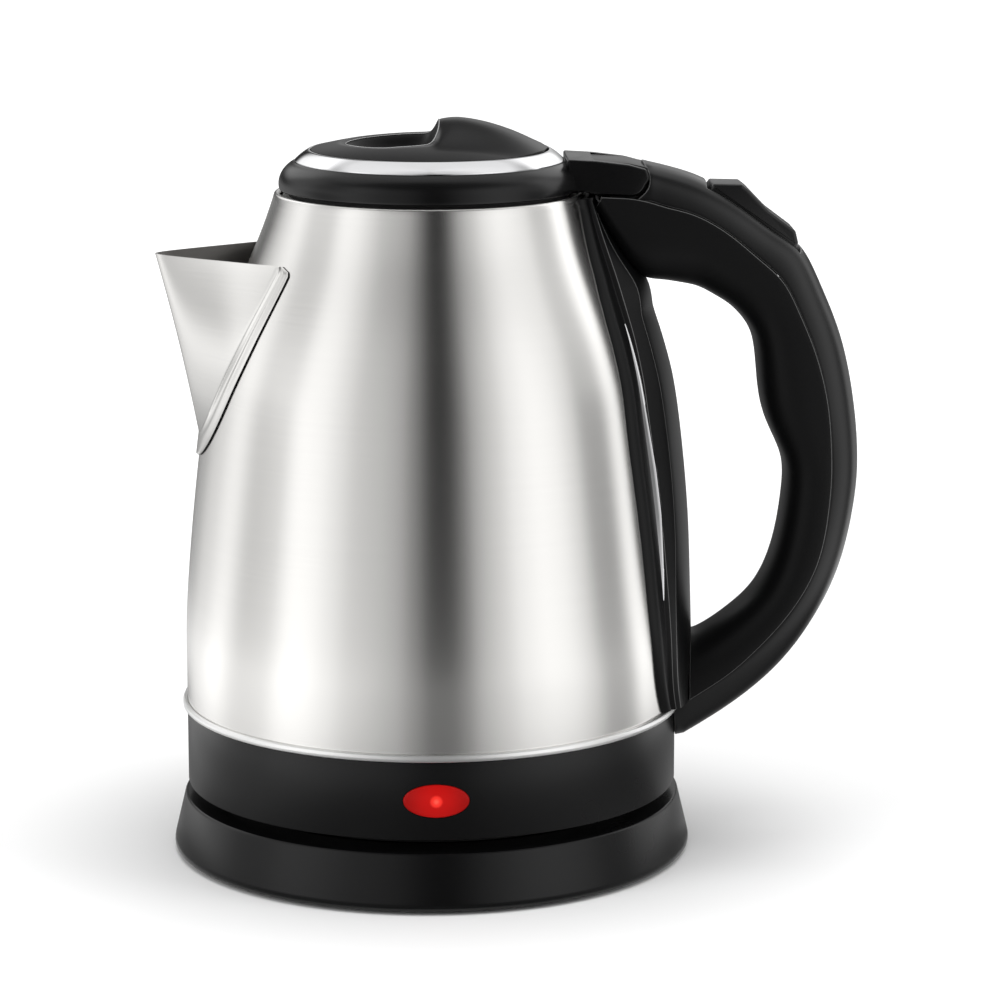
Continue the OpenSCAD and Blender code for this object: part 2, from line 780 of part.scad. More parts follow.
// A station of the web, whose inner point lies on the spine's rib at drawn height z, and
// whose seam lies the given drop below the lid's ears
function web_station(ox, oz, z, drop, power) =
  let (o = fitted(ox, oz), q = fitted(0, z)[1])
  concat(o, [rib_radius(q) + loose, q, 1, (o[1] - seam_z + drop) / (o[1] - q), power]);
web_stations = [
  web_station(49.5, 216, 201.6, -0.5, 6),
  web_station(54, 215.6, 197, -0.2, 6),
  web_station(60.5, 214.8, 189.5, 0.1, 5),
  web_station(67, 213.6, 182.3, 1.3, 4)];
loop_stations = [
  station(72, 212.5, 70.8, 180.4, 1, 0.34, 3.5),
  station(77.5, 211, 76.5, 179.5, 1, 0.345, 3.2),
  station(84.2, 208.4, 82.4, 178.1, 1, 0.36, 3),
  station(94, 202.6, 87.8, 175.4, 1, 0.378, 3),
  station(104.2, 195.1, 93.3, 171.8, 1, 0.408, 3),
  station(113.4, 188, 98.2, 166.5, 1, 0.427, 3),
  station(119.8, 176.2, 101.4, 159.8, 1, 0.422, 3),
  station(126.3, 159.7, 102.8, 149.8, 1, 0.378, 3),
  station(130.5, 139.7, 105.1, 136.3, 1, 0.355, 3),
  station(131.9, 122.5, 110.5, 123.4, 1, 0.43, 3),
  station(130.9, 108.1, 111.1, 110.3, 1, 0.442, 3),
  station(127, 90, 108.5, 94.6, 1, 0.43, 3),
  station(119.5, 73.2, 103.1, 81.4, 1, 0.486, 3),
  station(109.2, 58.6, 95.7, 73.4, 1, 0.51, 3),
  station(96.8, 47.2, 88.6, 68.1, 1, 0.482, 3),
  station(85.5, 39.4, 83.7, 65.4, 1, 0.467, 3)];
root_station = station(77.6, 34.6, 81.2, 64.8, 1, 0.446, 3);
stations = concat(web_stations, loop_stations, [root_station]);
path_steps = 2;
path = curve(stations, path_steps);
cover_start = 3 * path_steps;
window_start = 6 * path_steps;
window_end = 9 * path_steps;
seam_gap = seat / 2;
cover_end_r = trim_r + loose;
grip_end_r = rib_radius(spine_z0) + loose;

function outer_point(s) = [s[0], s[1]];
function inner_point(s) = [s[2], s[3]];
// Angle of the section's parameter where the share f of its depth is reached
function seam_angle(f, n) = acos(signed_pow(1 - 2 * f, n / 2));
// Point of the rounded section at angle a, d inside its surface
function section_point(s, a, d) =
  let (span = inner_point(s) - outer_point(s), half = norm(span) / 2, dir = span / (2 * half),
    w = s[4] * handle_half_w, n = s[6],
    u = signed_pow(cos(a), 2 / n), v = signed_pow(sin(a), 2 / n),
    g = [signed_pow(u, n - 1) / half, signed_pow(v, n - 1) / w], unit = g / norm(g),
    depth = half * (1 - u) + d * unit[0])
  [s[0] + dir[0] * depth, v * w - d * unit[1], s[1] + dir[1] * depth];
// The last ring of each shell lies on the rib, and below the rib on the trim ring
function on_round(p) = let (r = p[2] > spine_z0 - loose ? grip_end_r : cover_end_r)
  [sqrt(r * r - p[1] * p[1]), p[1], p[2]];
function handle_rings(first, angles, d) = [
  for (i = [first : len(path) - 1])
    let (s = path[i])
    [for (a = angles(s)) let (p = section_point(s, a, d))
      i == len(path) - 1 ? on_round(p) : p]];

cover_cols = 6;
cover_angles = function (s)
  let (depth = norm(inner_point(s) - outer_point(s)), a = seam_angle(s[5] - seam_gap / depth, s[6]))
  [for (j = [-cover_cols : cover_cols]) a * j / cover_cols];
grip_cols = 7;
grip_angles = function (s)
  let (depth = norm(inner_point(s) - outer_point(s)), a = seam_angle(s[5] + seam_gap / depth, s[6]))
  [for (j = [0 : 2 * grip_cols]) mix(a, 360 - a, j / (2 * grip_cols))];
window_cols = 3;

root_boss_r = 2.6;
root_boss_l = 4;
root_x = cover_end_r + 0.1;
module handle_cover() {
  color(black)
    difference() {
      union() {
        shell(handle_rings(cover_start, cover_angles, 0),
          handle_rings(cover_start, cover_angles, handle_wall),
          window_start - cover_start, window_end - cover_start,
          cover_cols - window_cols, cover_cols + window_cols);
        for (side = [-1, 1])
          along_x(root_x, side * root_screw_y, root_screw_z, root_boss_r, root_boss_l);
      }
      for (side = [-1, 1])
        along_x(root_x - 1, side * root_screw_y, root_screw_z, screw_bore_r, root_boss_l);
    }
}

module handle_grip() {
  color(soft_black)
    shell(handle_rings(0, grip_angles, 0), handle_rings(0, grip_angles, handle_wall));
}

module handle_screws() {
  head_x = sqrt(housing_in_r * housing_in_r - root_screw_y * root_screw_y) - 0.4;
  color(bright)
    for (side = [-1, 1]) {
      along_x(head_x - head_h, side * root_screw_y, root_screw_z, 2.4, head_h);
      along_x(head_x - head_h, side * root_screw_y, root_screw_z, screw_r,
        root_x + root_boss_l - 1.5 - head_x + head_h);
    }
}

// ---- bracket between the lid's ears, with the hinge pin
bracket_half_w = handle_half_w - handle_wall - loose;
tongue_rise = 5.4;
leg_front = hinge_x - 6.3;
leg_back = hinge_x + 4;
leg_h = 8;
leg_cut = loose + 1.3 * (handle_wall + seat);
module hinge_bracket() {
  tongue = concat(
    arc(hinge_x, hinge_z, tongue_r, 180 - asin(tongue_rise / tongue_r), 204, 8),
    [[hinge_x - 9, seam_z - 0.2], [hinge_x + knuckle_r, seam_z - 0.2],
      [hinge_x + knuckle_r, hinge_z + knuckle_top - 1.2], [hinge_x, hinge_z + knuckle_top]]);
  color(black)
    difference() {
      union() {
        side_plate(tongue, 2 * tongue_half_w);
        translate([leg_front, -bracket_half_w + 1, seam_z - leg_h])
          cube([leg_back - leg_front, 2 * bracket_half_w - 2, leg_h]);
      }
      body_shell([for (p = rib_line) [0, p[1]]], [for (p = rib_line) [p[0] + leg_cut, p[1]]]);
      cross_pin(hinge_x, hinge_z, hinge_pin_r + 0.02, 40);
    }
}

module hinge_pin() {
  color(bright)
    cross_pin(hinge_x, hinge_z, hinge_pin_r, 2 * ear_out - 0.6);
}

// ==== switch ==============================================================
// The switch has its own frame: its origin is the rocker's pivot, its X runs down the
// handle and its Z points out of it.
window_a = outer_point(path[window_start]);
window_b = outer_point(path[window_end]);
switch_tilt = atan2(window_a[1] - window_b[1], window_b[0] - window_a[0]);
pivot_depth = 6.5;
window_mid = (window_a + window_b) / 2;
pivot = window_mid - pivot_depth * [sin(switch_tilt), cos(switch_tilt)];
web_half_w = 3.5;
lug_gap = 0.4;
lug_t = 2.5;
lug_r = 3.2;
block_top = -8;
block_h = 5;
block_half_l = 14;
block_half_w = 9;
slot_half_l = 4;
tab_l = 5;
tab_front = -11;
tab_back = 6;
terminal_u = 9;
terminal_l = 3.5;
terminal_y = 1.7;
terminal_t = 0.8;

module in_switch_frame() {
  translate([pivot[0], 0, pivot[1]])
    rotate([0, switch_tilt, 0])
      children();
}
// Point [x, z] of the part at u, v of the switch's frame
function from_switch(u, v) = pivot
  + u * [cos(switch_tilt), -sin(switch_tilt)] + v * [sin(switch_tilt), cos(switch_tilt)];

rocker_edge = 3.4;
rocker_lip = 6.9;
rocker_front = 11.8;
rocker_hollow = 10;
rocker_rear = 9.7;
rocker_wall = 1.8;
rocker_nose = 1.8;
module rocker() {
  half = rocker_l / 2;
  top_line = concat([[-half, rocker_lip], [-half * 0.55, rocker_front]],
    curve([[-half * 0.5, rocker_front], [half * 0.16, rocker_hollow],
      [half * 0.82, rocker_rear]], 5), [[half, rocker_lip]]);
  pocket = [for (p = top_line) [p[0] * 0.88, p[1] - rocker_wall]];
  tail = [[-1.2, -block_h + block_top + 1], [1.2, -block_h + block_top + 1], [1.2, 0], [-1.2, 0]];
  color(black)
    in_switch_frame()
      difference() {
        union() {
          difference() {
            side_plate(concat(top_line, [[half, rocker_edge], [rocker_nose - half, rocker_edge]]),
              rocker_w);
            side_plate(concat(pocket, [[half * 0.88, 0], [-half * 0.88, 0]]),
              rocker_w - 2 * rocker_wall);
          }
          side_plate([[-5, rocker_hollow - 1], [5, rocker_hollow - 1], [2, 0], [-2, 0]],
            2 * web_half_w);
          cross_pin(0, 0, lug_r - 0.6, 2 * web_half_w);
          side_plate(tail, 2 * web_half_w - 1);
        }
        cross_pin(0, 0, rocker_pin_r + running, rocker_w);
      }
}

module switch_housing() {
  lug_in = web_half_w + lug_gap;
  lug_mid = lug_in + lug_t / 2;
  color([0.82, 0.8, 0.75])
    in_switch_frame()
      difference() {
        union() {
          translate([-block_half_l, -block_half_w, block_top - block_h])
            cube([2 * block_half_l, 2 * block_half_w, block_h]);
          for (u = [tab_front, tab_back])
            translate([u, -bracket_half_w + 0.2, block_top - block_h + 2])
              cube([tab_l, 2 * bracket_half_w - 0.4, block_h - 2]);
          for (side = [-1, 1])
            translate([0, side * lug_mid, 0]) {
              cross_pin(0, 0, lug_r, lug_t);
              translate([-lug_r, -lug_t / 2, block_top - 1])
                cube([2 * lug_r, lug_t, 1 - block_top]);
            }
        }
        translate([-slot_half_l, -lug_in, block_top - block_h - 1])
          cube([2 * slot_half_l, 2 * lug_in, block_h + 2]);
        cross_pin(0, 0, rocker_pin_r + 0.02, rocker_w);
      }
}

module switch_terminals() {
  color(brass)
    in_switch_frame()
      for (side = [-1, 1])
        translate([terminal_u, side * terminal_y - terminal_t / 2, block_top - block_h - 3])
          cube([terminal_l, terminal_t, 3]);
}

bimetal_r = 8;
bimetal_t = 1;
module steam_bimetal() {
  color([0.7, 0.55, 0.4])
    in_switch_frame()
      translate([0, 0, block_top - block_h - bimetal_t - 0.2])
        cylinder(r = bimetal_r, h = bimetal_t, $fn = 48);
}

module rocker_pin() {
  color(bright)
    in_switch_frame()
      cross_pin(0, 0, rocker_pin_r, 2 * (web_half_w + lug_gap + lug_t));
}

// ---- leads from the switch through the handle to the thermostat
lead_r = 1;
lead_sides = 8;
function path_middle(k) =
  let (s = path[k * path_steps]) (outer_point(s) + inner_point(s)) / 2;
lead_start = from_switch(terminal_u + terminal_l + 0.4, block_top - block_h - 1.8);
lead_turn = from_switch(terminal_u + terminal_l + 6, block_top - block_h - 1);
lead_plan = concat([lead_start, lead_turn],
  [for (k = [11 : 18]) path_middle(k)],
  [[root_x + 5.6, root_screw_z + 6], [root_x + 1, root_screw_z + 0.8],
    [housing_in_r, root_screw_z], [housing_in_r - 14, element_z - 1],
    [thermostat_r + 1.3, element_z - 1]]);
lead_line = curve(lead_plan, 3);
// Ring of points round the line at index i, in the plane square to it
function lead_ring(i, y) =
  let (d = lead_line[min(i + 1, len(lead_line) - 1)] - lead_line[max(i - 1, 0)],
    n = [d[1], -d[0]] / norm(d))
  [for (k = [0 : lead_sides - 1])
    let (a = 360 * k / lead_sides, c = lead_r * cos(a))
    [lead_line[i][0] + n[0] * c, y + lead_r * sin(a), lead_line[i][1] + n[1] * c]];
module lead(y) {
  last = len(lead_line) - 1;
  points = [for (i = [0 : last]) each lead_ring(i, y)];
  sides = [for (i = [0 : last - 1], k = [0 : lead_sides - 1])
    let (a = i * lead_sides + k, b = i * lead_sides + (k + 1) % lead_sides)
    each [[a, b + lead_sides, b], [a, a + lead_sides, b + lead_sides]]];
  polyhedron(points = points, convexity = 6, faces = concat(sides,
    [[for (k = [0 : lead_sides - 1]) k],
      [for (k = [lead_sides - 1 : -1 : 0]) last * lead_sides + k]]));
}
module switch_leads() {
  color([0.75, 0.75, 0.72])
    for (side = [-1, 1])
      lead(side * terminal_y);
}

// ==== lid =================================================================
lid_r = mouth_r - 0.4;
rim_z = body_top + 0.7;
rim_in_r = mouth_r - 3.2;
ledge_z = rim_z + lid_rim_h;
ring_out_r = lid_r - 5;
ring_in_r = ring_out_r - lid_ring_w;
ring_top = ledge_z + lid_ring_h;
liner_r = rim_in_r - loose;
liner_z = body_top - 6.3;
lid_boss_r = 3;
lid_screw_circle = ring_in_r - 1;
lid_web_z = ledge_z - lid_wall;

rim_outline = concat(
  [[rim_in_r, rim_z], [lid_r - 0.7, rim_z], [lid_r, rim_z + 0.8], [lid_r, rim_z + 2]],
  [for (i = [1 : 6]) let (a = 90 * i / 6)
    [mix(lid_r, ring_out_r + 0.3, 1 - cos(a)), mix(rim_z + 2, ledge_z + 0.5, sin(a))]],
  [[ring_out_r + 0.1, ledge_z], [ring_in_r - 1.2, ledge_z], [ring_in_r - 1.2, lid_web_z],
    [rim_in_r, lid_web_z]]);
// Side view of the bridge and the ears, from the bright ring to the knuckle
ear_outline = concat(
  [[ring_out_r + 0.6, rim_z], [ring_out_r + 0.6, ring_top - 2.3],
    [hinge_x - 10, hinge_z + tongue_rise], [hinge_x, hinge_z + knuckle_top]],
  arc(hinge_x, hinge_z, knuckle_r, ear_corner, 0, 4),
  arc(hinge_x, hinge_z, knuckle_low_r, -15, -90, 8),
  [[mouth_r + 2, seam_z + seat + ear_rise], [mouth_r + 1, rim_z]]);

module lid_rim() {
  color(black)
    difference() {
      union() {
        rotate_extrude($fn = round_fn)
          polygon(rim_outline);
        difference() {
          side_plate(ear_outline, 2 * ear_out);
          cylinder(r = ring_out_r + 0.4, h = 2 * ring_top, $fn = round_fn);
          cylinder(r = rim_in_r, h = lid_web_z + 1, $fn = round_fn);
        }
        around(3, lid_screw_circle, 60)
          translate([0, 0, liner_z + lid_wall + 0.1])
            cylinder(r = lid_boss_r, h = lid_web_z - liner_z - lid_wall + 0.5, $fn = small_fn);
      }
      cross_pin(hinge_x, hinge_z, tongue_r + seat, 2 * (tongue_half_w + ear_gap));
      cross_pin(hinge_x, hinge_z, hinge_pin_r + running, 40);
      around(3, lid_screw_circle, 60)
        translate([0, 0, liner_z])
          cylinder(r = screw_bore_r, h = 9, $fn = small_fn);
    }
}

module lid_ring() {
  color(bright)
    rotate_extrude($fn = round_fn)
      polygon(concat([[ring_in_r, ledge_z], [ring_out_r, ledge_z], [ring_out_r, ledge_z + 0.5]],
        [for (i = [1 : 5]) let (a = 90 * i / 6)
          [mix(ring_out_r, ring_in_r + 0.3, 1 - cos(a)), mix(ledge_z + 0.5, ring_top, sin(a))]],
        [[ring_in_r + 0.3, ring_top], [ring_in_r, ring_top - 0.2]]));
}

// ---- lid top: a low dome with a hump to the rear and a scoop for the thumb
top_r = ring_in_r - 0.2;
dome_h = 4.4;
scoop_front = -26.5;
scoop_back = 2.2;
scoop_mid = (scoop_front + scoop_back) / 2;
scoop_half_l = (scoop_back - scoop_front) / 2;
scoop_power = 2.5;
scoop_sectors = 48;
hump_half_w = 27;
// Shares of the way from the scoop's middle to its rim, then from its rim to the edge
scoop_rings = [0.45, 0.8, 0.9, 0.96, 1];
field_rings = [0.06, 0.16, 0.32, 0.5, 0.68, 0.86, 1];
// Crest of the hump in the middle plane: [x, share of the hump's height]
hump_crest = [[scoop_back - 1.2, 0], [scoop_back - 0.4, 0.72], [scoop_back + 1, 0.97],
  [6, 1], [12, 0.96], [18, 0.84], [26, 0.58], [32, 0.28], [37, 0]];
function dome(x, y) = ring_top + dome_h * (1 - (x * x + y * y) / (top_r * top_r));
function hump(x, y) =
  lookup(x, hump_crest) * (hump_h - dome_h) * (1 - blend(abs(y) / hump_half_w));
function top_height(x, y) = dome(x, y) + hump(x, y);
function scoop_edge(a) =
  [scoop_mid + scoop_half_l * signed_pow(cos(a), 2 / scoop_power),
    scoop_half_w * signed_pow(sin(a), 2 / scoop_power)];
function lid_edge(a) = let (e = scoop_edge(a), b = atan2(e[1], e[0] - scoop_mid * 0.4))
  [top_r * cos(b), top_r * sin(b)];
function scoop_point(k, a) =
  let (e = scoop_edge(a), p = mix([scoop_mid, 0], e, k), rim = top_height(e[0], e[1]),
    bottom = ring_top + dome_h - 1 - scoop_depth)
  [p[0], p[1], mix(bottom, rim, pow(blend((k - 0.78) / 0.22), 0.8))];
function field_point(k, a) =
  let (p = mix(scoop_edge(a), lid_edge(a), k)) [p[0], p[1], top_height(p[0], p[1])];
top_rows = [for (i = [0 : scoop_sectors]) let (a = 360 * (i % scoop_sectors) / scoop_sectors)
  concat([for (k = scoop_rings) scoop_point(k, a)], [for (k = field_rings) field_point(k, a)])];

module lid_top() {
  n = scoop_sectors;
  cols = len(top_rows[0]);
  far = n * cols;
  upper = [for (i = [0 : n - 1]) each top_rows[i]];
  lower = [for (p = upper) [p[0] * (1 - lid_wall / 70), p[1] * (1 - lid_wall / 50),
    p[2] - lid_wall]];
  skirt_out = [for (i = [0 : n - 1]) let (p = top_rows[i][cols - 1]) [p[0], p[1], ledge_z]];
  skirt_in = [for (p = skirt_out) [p[0] * (1 - lid_wall / top_r), p[1] * (1 - lid_wall / top_r),
    p[2]]];
  middle = [scoop_mid, 0, top_rows[0][0][2]];
  points = concat(upper, lower, skirt_out, skirt_in, [middle, middle - [0, 0, lid_wall]]);
  out_at = 2 * far;
  in_at = out_at + n;
  top_mid = in_at + n;
  faces = [for (i = [0 : n - 1])
    let (m = (i + 1) % n, a = i * cols, b = m * cols, e = cols - 1)
    each concat(
      [for (j = [0 : cols - 2]) each [[a + j, b + j, b + j + 1], [a + j, b + j + 1, a + j + 1],
        [far + a + j, far + b + j + 1, far + b + j], [far + a + j, far + a + j + 1, far + b + j + 1]]],
      [[top_mid, b, a], [top_mid + 1, far + a, far + b],
        [a + e, b + e, out_at + m], [a + e, out_at + m, out_at + i],
        [out_at + i, out_at + m, in_at + m], [out_at + i, in_at + m, in_at + i],
        [in_at + i, in_at + m, far + b + e], [in_at + i, far + b + e, far + a + e]])];
  color(black)
    polyhedron(points = points, faces = faces, convexity = 10);
}

module lid_liner() {
  color([0.14, 0.14, 0.145])
    difference() {
      union() {
        translate([0, 0, liner_z])
          cylinder(r = liner_r, h = lid_wall, $fn = round_fn);
        ring(liner_r - 1.6, liner_r, liner_z, lid_web_z - 0.1);
      }
      around(3, lid_screw_circle, 60) {
        cylinder(r = screw_hole_r, h = body_top, $fn = small_fn);
        cylinder(r = head_r - 0.4, h = liner_z + head_h - 0.2, $fn = small_fn);
      }
    }
}

module lid_gasket() {
  color([0.6, 0.6, 0.6])
    ring(liner_r + 0.05, mouth_r - 1.6, liner_z + 3, liner_z + 5.2);
}

module lid_screws() {
  color(bright)
    around(3, lid_screw_circle, 60)
      translate([0, 0, liner_z]) {
        cylinder(r = 2.4, h = head_h - 0.2, $fn = small_fn);
        cylinder(r = screw_r, h = 8, $fn = small_fn);
      }
}

base_shell();
base_plate();
foot_ring();
base_screws();
cord_gland();
base_connector();
base_contacts();
connector_collar();
pot();
spout();
pot_floor();
heat_plate();
heating_element();
thermostat();
kettle_connector();
connector_pins();
lower_housing();
bottom_cover();
bottom_screws();
trim_ring();
indicator_lens();
indicator_lamp();
lamp_holder();
spine_flange();
spine_rib();
handle_grip();
handle_cover();
handle_screws();
hinge_bracket();
hinge_pin();
switch_housing();
switch_terminals();
steam_bimetal();
rocker_pin();
switch_leads();
rocker();
lid_rim();
lid_ring();
lid_top();
lid_liner();
lid_gasket();
lid_screws();
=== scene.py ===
"""Cordless steel kettle on its power base: surfaces, materials, lamps and camera."""

import math

import bpy
import numpy as np
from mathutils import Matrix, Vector


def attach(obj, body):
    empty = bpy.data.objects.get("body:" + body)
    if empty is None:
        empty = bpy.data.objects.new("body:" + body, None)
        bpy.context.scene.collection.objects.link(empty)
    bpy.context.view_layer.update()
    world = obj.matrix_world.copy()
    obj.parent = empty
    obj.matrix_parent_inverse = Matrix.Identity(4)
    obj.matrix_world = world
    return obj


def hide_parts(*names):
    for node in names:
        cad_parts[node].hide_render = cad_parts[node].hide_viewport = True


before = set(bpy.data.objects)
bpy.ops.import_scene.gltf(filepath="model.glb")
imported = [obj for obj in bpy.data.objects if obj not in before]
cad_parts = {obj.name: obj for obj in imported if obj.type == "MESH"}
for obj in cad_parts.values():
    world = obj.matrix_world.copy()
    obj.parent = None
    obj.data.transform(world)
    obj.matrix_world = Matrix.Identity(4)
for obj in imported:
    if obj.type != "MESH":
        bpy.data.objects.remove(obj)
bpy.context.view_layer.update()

bl_info = {
    "name": "Steel Kettle",
    "version": (1, 0, 0),
    "blender": (4, 5, 0),
    "location": "View3D > Sidebar > Kettle",
    "description": "Builds the shells, metalwork and finishes of a cordless kettle",
    "category": "Add Mesh",
}

# Shapes are worked out in millimetres and turned into metres by put_mesh
MM = 0.001
# Radius of the housing and the pot's foot, height of their seam, thickness of the steel
BODY_R, HOUSING_TOP, SHEET = 76.0, 45.7, 0.8
# Height of the lens's middle, and its half width and half height
LENS_Z, LENS_HALF = 33.9, (9.8, 5.0)
# Height of the spout's point, rise from there to its lip, and reach of its nose
SPOUT_FOOT, SPOUT_RISE, SPOUT_NOSE = 131.5, 55.0, 83.0
STRAP_FOOT, STRAP_TOP = 48.3, 204.4
HINGE_X, HINGE_Z = 60.2, 209.8

# Height and radius of the pot's side, from its foot to its neck
POT_SIDE = [
    [HOUSING_TOP, BODY_R], [62.0, 76.0], [78.9, 75.6], [109.4, 73.0], [140.2, 69.2], [155.6, 66.0],
    [170.9, 60.9], [189.7, 52.85], [203.0, 47.9]]
# Height, half width of the strap's flange, of its rib's foot and of its rib's top, and how
# far the rib stands out of the pot
STRAP_TABLE = [
    [48.3, 30.2, 26.6, 24.6, 4.9], [58.3, 34.6, 30.3, 28.4, 4.9], [79.0, 38.2, 32.0, 29.4, 4.9],
    [103.7, 38.8, 32.0, 27.3, 6.0], [128.4, 38.9, 31.9, 25.9, 6.6], [146.9, 37.2, 31.0, 25.4, 6.75],
    [165.3, 33.9, 27.0, 23.0, 6.8], [171.5, 32.2, 25.4, 21.6, 7.4], [176.9, 30.2, 23.6, 19.9, 8.5],
    [182.2, 27.6, 21.3, 18.0, 7.5], [190.0, 24.0, 18.2, 15.8, 5.2], [202.3, 17.5, 13.6, 12.2, 3.4]]
# Crest of the lid's hump in the middle plane: x, share of its height
CREST_TABLE = [
    [-0.8, 0.0], [0.4, 0.15], [1.6, 0.50], [2.6, 0.84], [4.0, 0.975], [6.8, 1.0],
    [11.5, 0.965], [18.0, 0.84], [25.5, 0.585], [31.5, 0.30], [35.0, 0.10], [37.5, 0.0]]
# Stations of the handle where its inner side lies on the strap: outer x, outer z, height on
# the strap, drop of the seam below the ears, squareness
WEB = [[49.5, 216.0, 201.6, -0.5, 6], [54.0, 215.6, 197.0, -0.2, 6],
       [60.5, 214.8, 189.5, 0.1, 5], [67.0, 213.6, 182.3, 1.3, 4]]
# The other stations: outer x, outer z, inner x, inner z, share of the depth at the seam,
# squareness
LOOP = [
    [72.0, 212.5, 70.8, 180.4, 0.34, 3.5], [77.5, 211.0, 76.5, 179.5, 0.345, 3.2],
    [84.2, 208.4, 82.4, 178.1, 0.36, 3], [94.0, 202.6, 87.8, 175.4, 0.378, 3],
    [104.2, 195.1, 93.3, 171.8, 0.408, 3], [113.4, 188.0, 98.2, 166.5, 0.427, 3],
    [119.8, 176.2, 101.4, 159.8, 0.422, 3], [126.3, 159.7, 102.8, 149.8, 0.378, 3],
    [130.5, 139.7, 105.1, 136.3, 0.355, 3], [131.9, 122.5, 110.5, 123.4, 0.43, 3],
    [130.9, 108.1, 111.1, 110.3, 0.442, 3], [127.0, 90.0, 108.5, 94.6, 0.43, 3],
    [119.5, 73.2, 103.1, 81.4, 0.486, 3], [109.2, 58.6, 95.7, 73.4, 0.51, 3],
    [96.8, 47.2, 88.6, 68.1, 0.482, 3], [85.5, 39.4, 83.7, 65.4, 0.467, 3],
    [77.6, 34.6, 81.2, 64.8, 0.446, 3]]


# ---- curves ----

def spline(points, t):
    """Natural cubic spline through the rows of points, one unit of t apart: each piece is
    the cubic whose second derivatives solve the usual tridiagonal system."""
    points = np.asarray(points, float)
    n = len(points)
    system, pull = np.eye(n), np.zeros_like(points)
    inner = np.arange(1, n - 1)
    system[inner, inner] = 4.0
    system[inner, inner - 1] = system[inner, inner + 1] = 1.0
    pull[1:-1] = 6.0 * (points[:-2] - 2.0 * points[1:-1] + points[2:])
    second = np.linalg.solve(system, pull)
    i = np.clip(np.floor(t).astype(int), 0, n - 2)
    b = (t - i)[:, None]
    a = 1.0 - b
    return (a * points[i] + b * points[i + 1]
            + ((a ** 3 - a) * second[i] + (b ** 3 - b) * second[i + 1]) / 6.0)


def smooth_table(table, steps=12):
    """The table's rows joined by the spline, with the given steps from row to row."""
    return spline(table, np.linspace(0, len(table) - 1, (len(table) - 1) * steps + 1))


POT_FINE, STRAP_FINE, CREST = map(smooth_table, (POT_SIDE, STRAP_TABLE, CREST_TABLE))


def pot_radius(z):
    """Radius of the pot's side at height z, read off the smoothed side."""
    return np.interp(z, POT_FINE[:, 0], POT_FINE[:, 1])


def strap(column, z):
    """Column of the smoothed strap table at height z."""
    return np.interp(z, STRAP_FINE[:, 0], STRAP_FINE[:, column])


def ease(t):
    """0 below 0, 1 above 1, and 3t^2 - 2t^3 between."""
    t = np.clip(t, 0.0, 1.0)
    return t * t * (3.0 - 2.0 * t)


def signed_power(x, p):
    """|x| to the power p, with the sign of x."""
    return np.sign(x) * np.abs(x) ** p


def hill(x, height, middle, width):
    """Gaussian hill: h exp(-((x - m) / w)^2)."""
    return height * np.exp(-((x - middle) / width) ** 2)


def unit(v):
    """Vectors over their lengths."""
    return v / np.maximum(np.linalg.norm(v, axis=-1, keepdims=True), 1e-9)


def full_turn(n):
    """n even angles round a circle."""
    return np.linspace(0, 2 * np.pi, n, endpoint=False)


def arc(cx, cy, r, a0, a1, n):
    """n + 1 points of a circle from angle a0 to a1, in degrees."""
    t = np.radians(np.linspace(a0, a1, n + 1))
    return np.stack([cx + r * np.cos(t), cy + r * np.sin(t)], 1)


def rounded(corners, radii, steps=6, closed=True):
    """Outline with its corners rounded: each corner is replaced by the circular arc of its
    radius that touches both sides."""
    p = np.asarray(corners, float)
    d0, d1 = np.roll(p, 1, 0) - p, np.roll(p, -1, 0) - p
    shortest = np.minimum(np.linalg.norm(d0, axis=1), np.linalg.norm(d1, axis=1))
    d0, d1 = unit(d0), unit(d1)
    half = np.arccos(np.clip((d0 * d1).sum(1), -1, 1)) / 2
    reach = np.minimum(radii / np.maximum(np.tan(half), 1e-6), 0.49 * shortest)
    if not closed:
        reach[[0, -1]] = 0.0
    r = reach * np.tan(half)
    out = []
    for k, corner in enumerate(p):
        middle = d0[k] + d1[k]
        if reach[k] < 1e-6 or np.linalg.norm(middle) < 1e-6:
            out.append(corner[None])
            continue
        centre = corner + unit(middle) * (r[k] / np.sin(half[k]))
        a, b = corner + d0[k] * reach[k] - centre, corner + d1[k] * reach[k] - centre
        a0, a1 = np.arctan2(a[1], a[0]), np.arctan2(b[1], b[0])
        turn = (a1 - a0 + np.pi) % (2 * np.pi) - np.pi
        t = a0 + turn * np.linspace(0, 1, steps + 1)
        out.append(centre + r[k] * np.stack([np.cos(t), np.sin(t)], 1))
    return np.concatenate(out)


# ---- meshes ----

def grid_faces(rows, cols, wrap_rows=False, wrap_cols=False):
    """Four-sided faces between neighbours of a grid of points numbered row by row."""
    i = np.arange(rows if wrap_rows else rows - 1)[:, None]
    j = np.arange(cols if wrap_cols else cols - 1)[None, :]
    i2, j2 = (i + 1) % rows, (j + 1) % cols
    quads = np.stack([i * cols + j, i * cols + j2, i2 * cols + j2, i2 * cols + j], -1)
    return quads.reshape(-1, 4)


def tube_faces(rows, cols):
    """Faces of a tube of closed rows, with a cap on its first row and one on its last."""
    ring = np.arange(cols)[None]
    return [grid_faces(rows, cols, False, True), ring[:, ::-1], ring + (rows - 1) * cols]


def values_of(items, key, width=1, kind=np.float32):
    """One property of all the items of a mesh, as rows with that width."""
    values = np.empty(len(items) * width, kind)
    items.foreach_get(key, values)
    return values.reshape(-1, width)


def signed_volume(mesh):
    """Sum over the triangles of the box product of their corners, over six. Points are
    taken from the mesh's middle, so that an open shell gives its side too."""
    mesh.calc_loop_triangles()
    points = values_of(mesh.vertices, "co", 3).astype(float)
    a, b, c = (points - points.mean(0))[values_of(mesh.loop_triangles, "vertices", 3, np.int32).T]
    return float((np.cross(a, b) * c).sum() / 6.0)


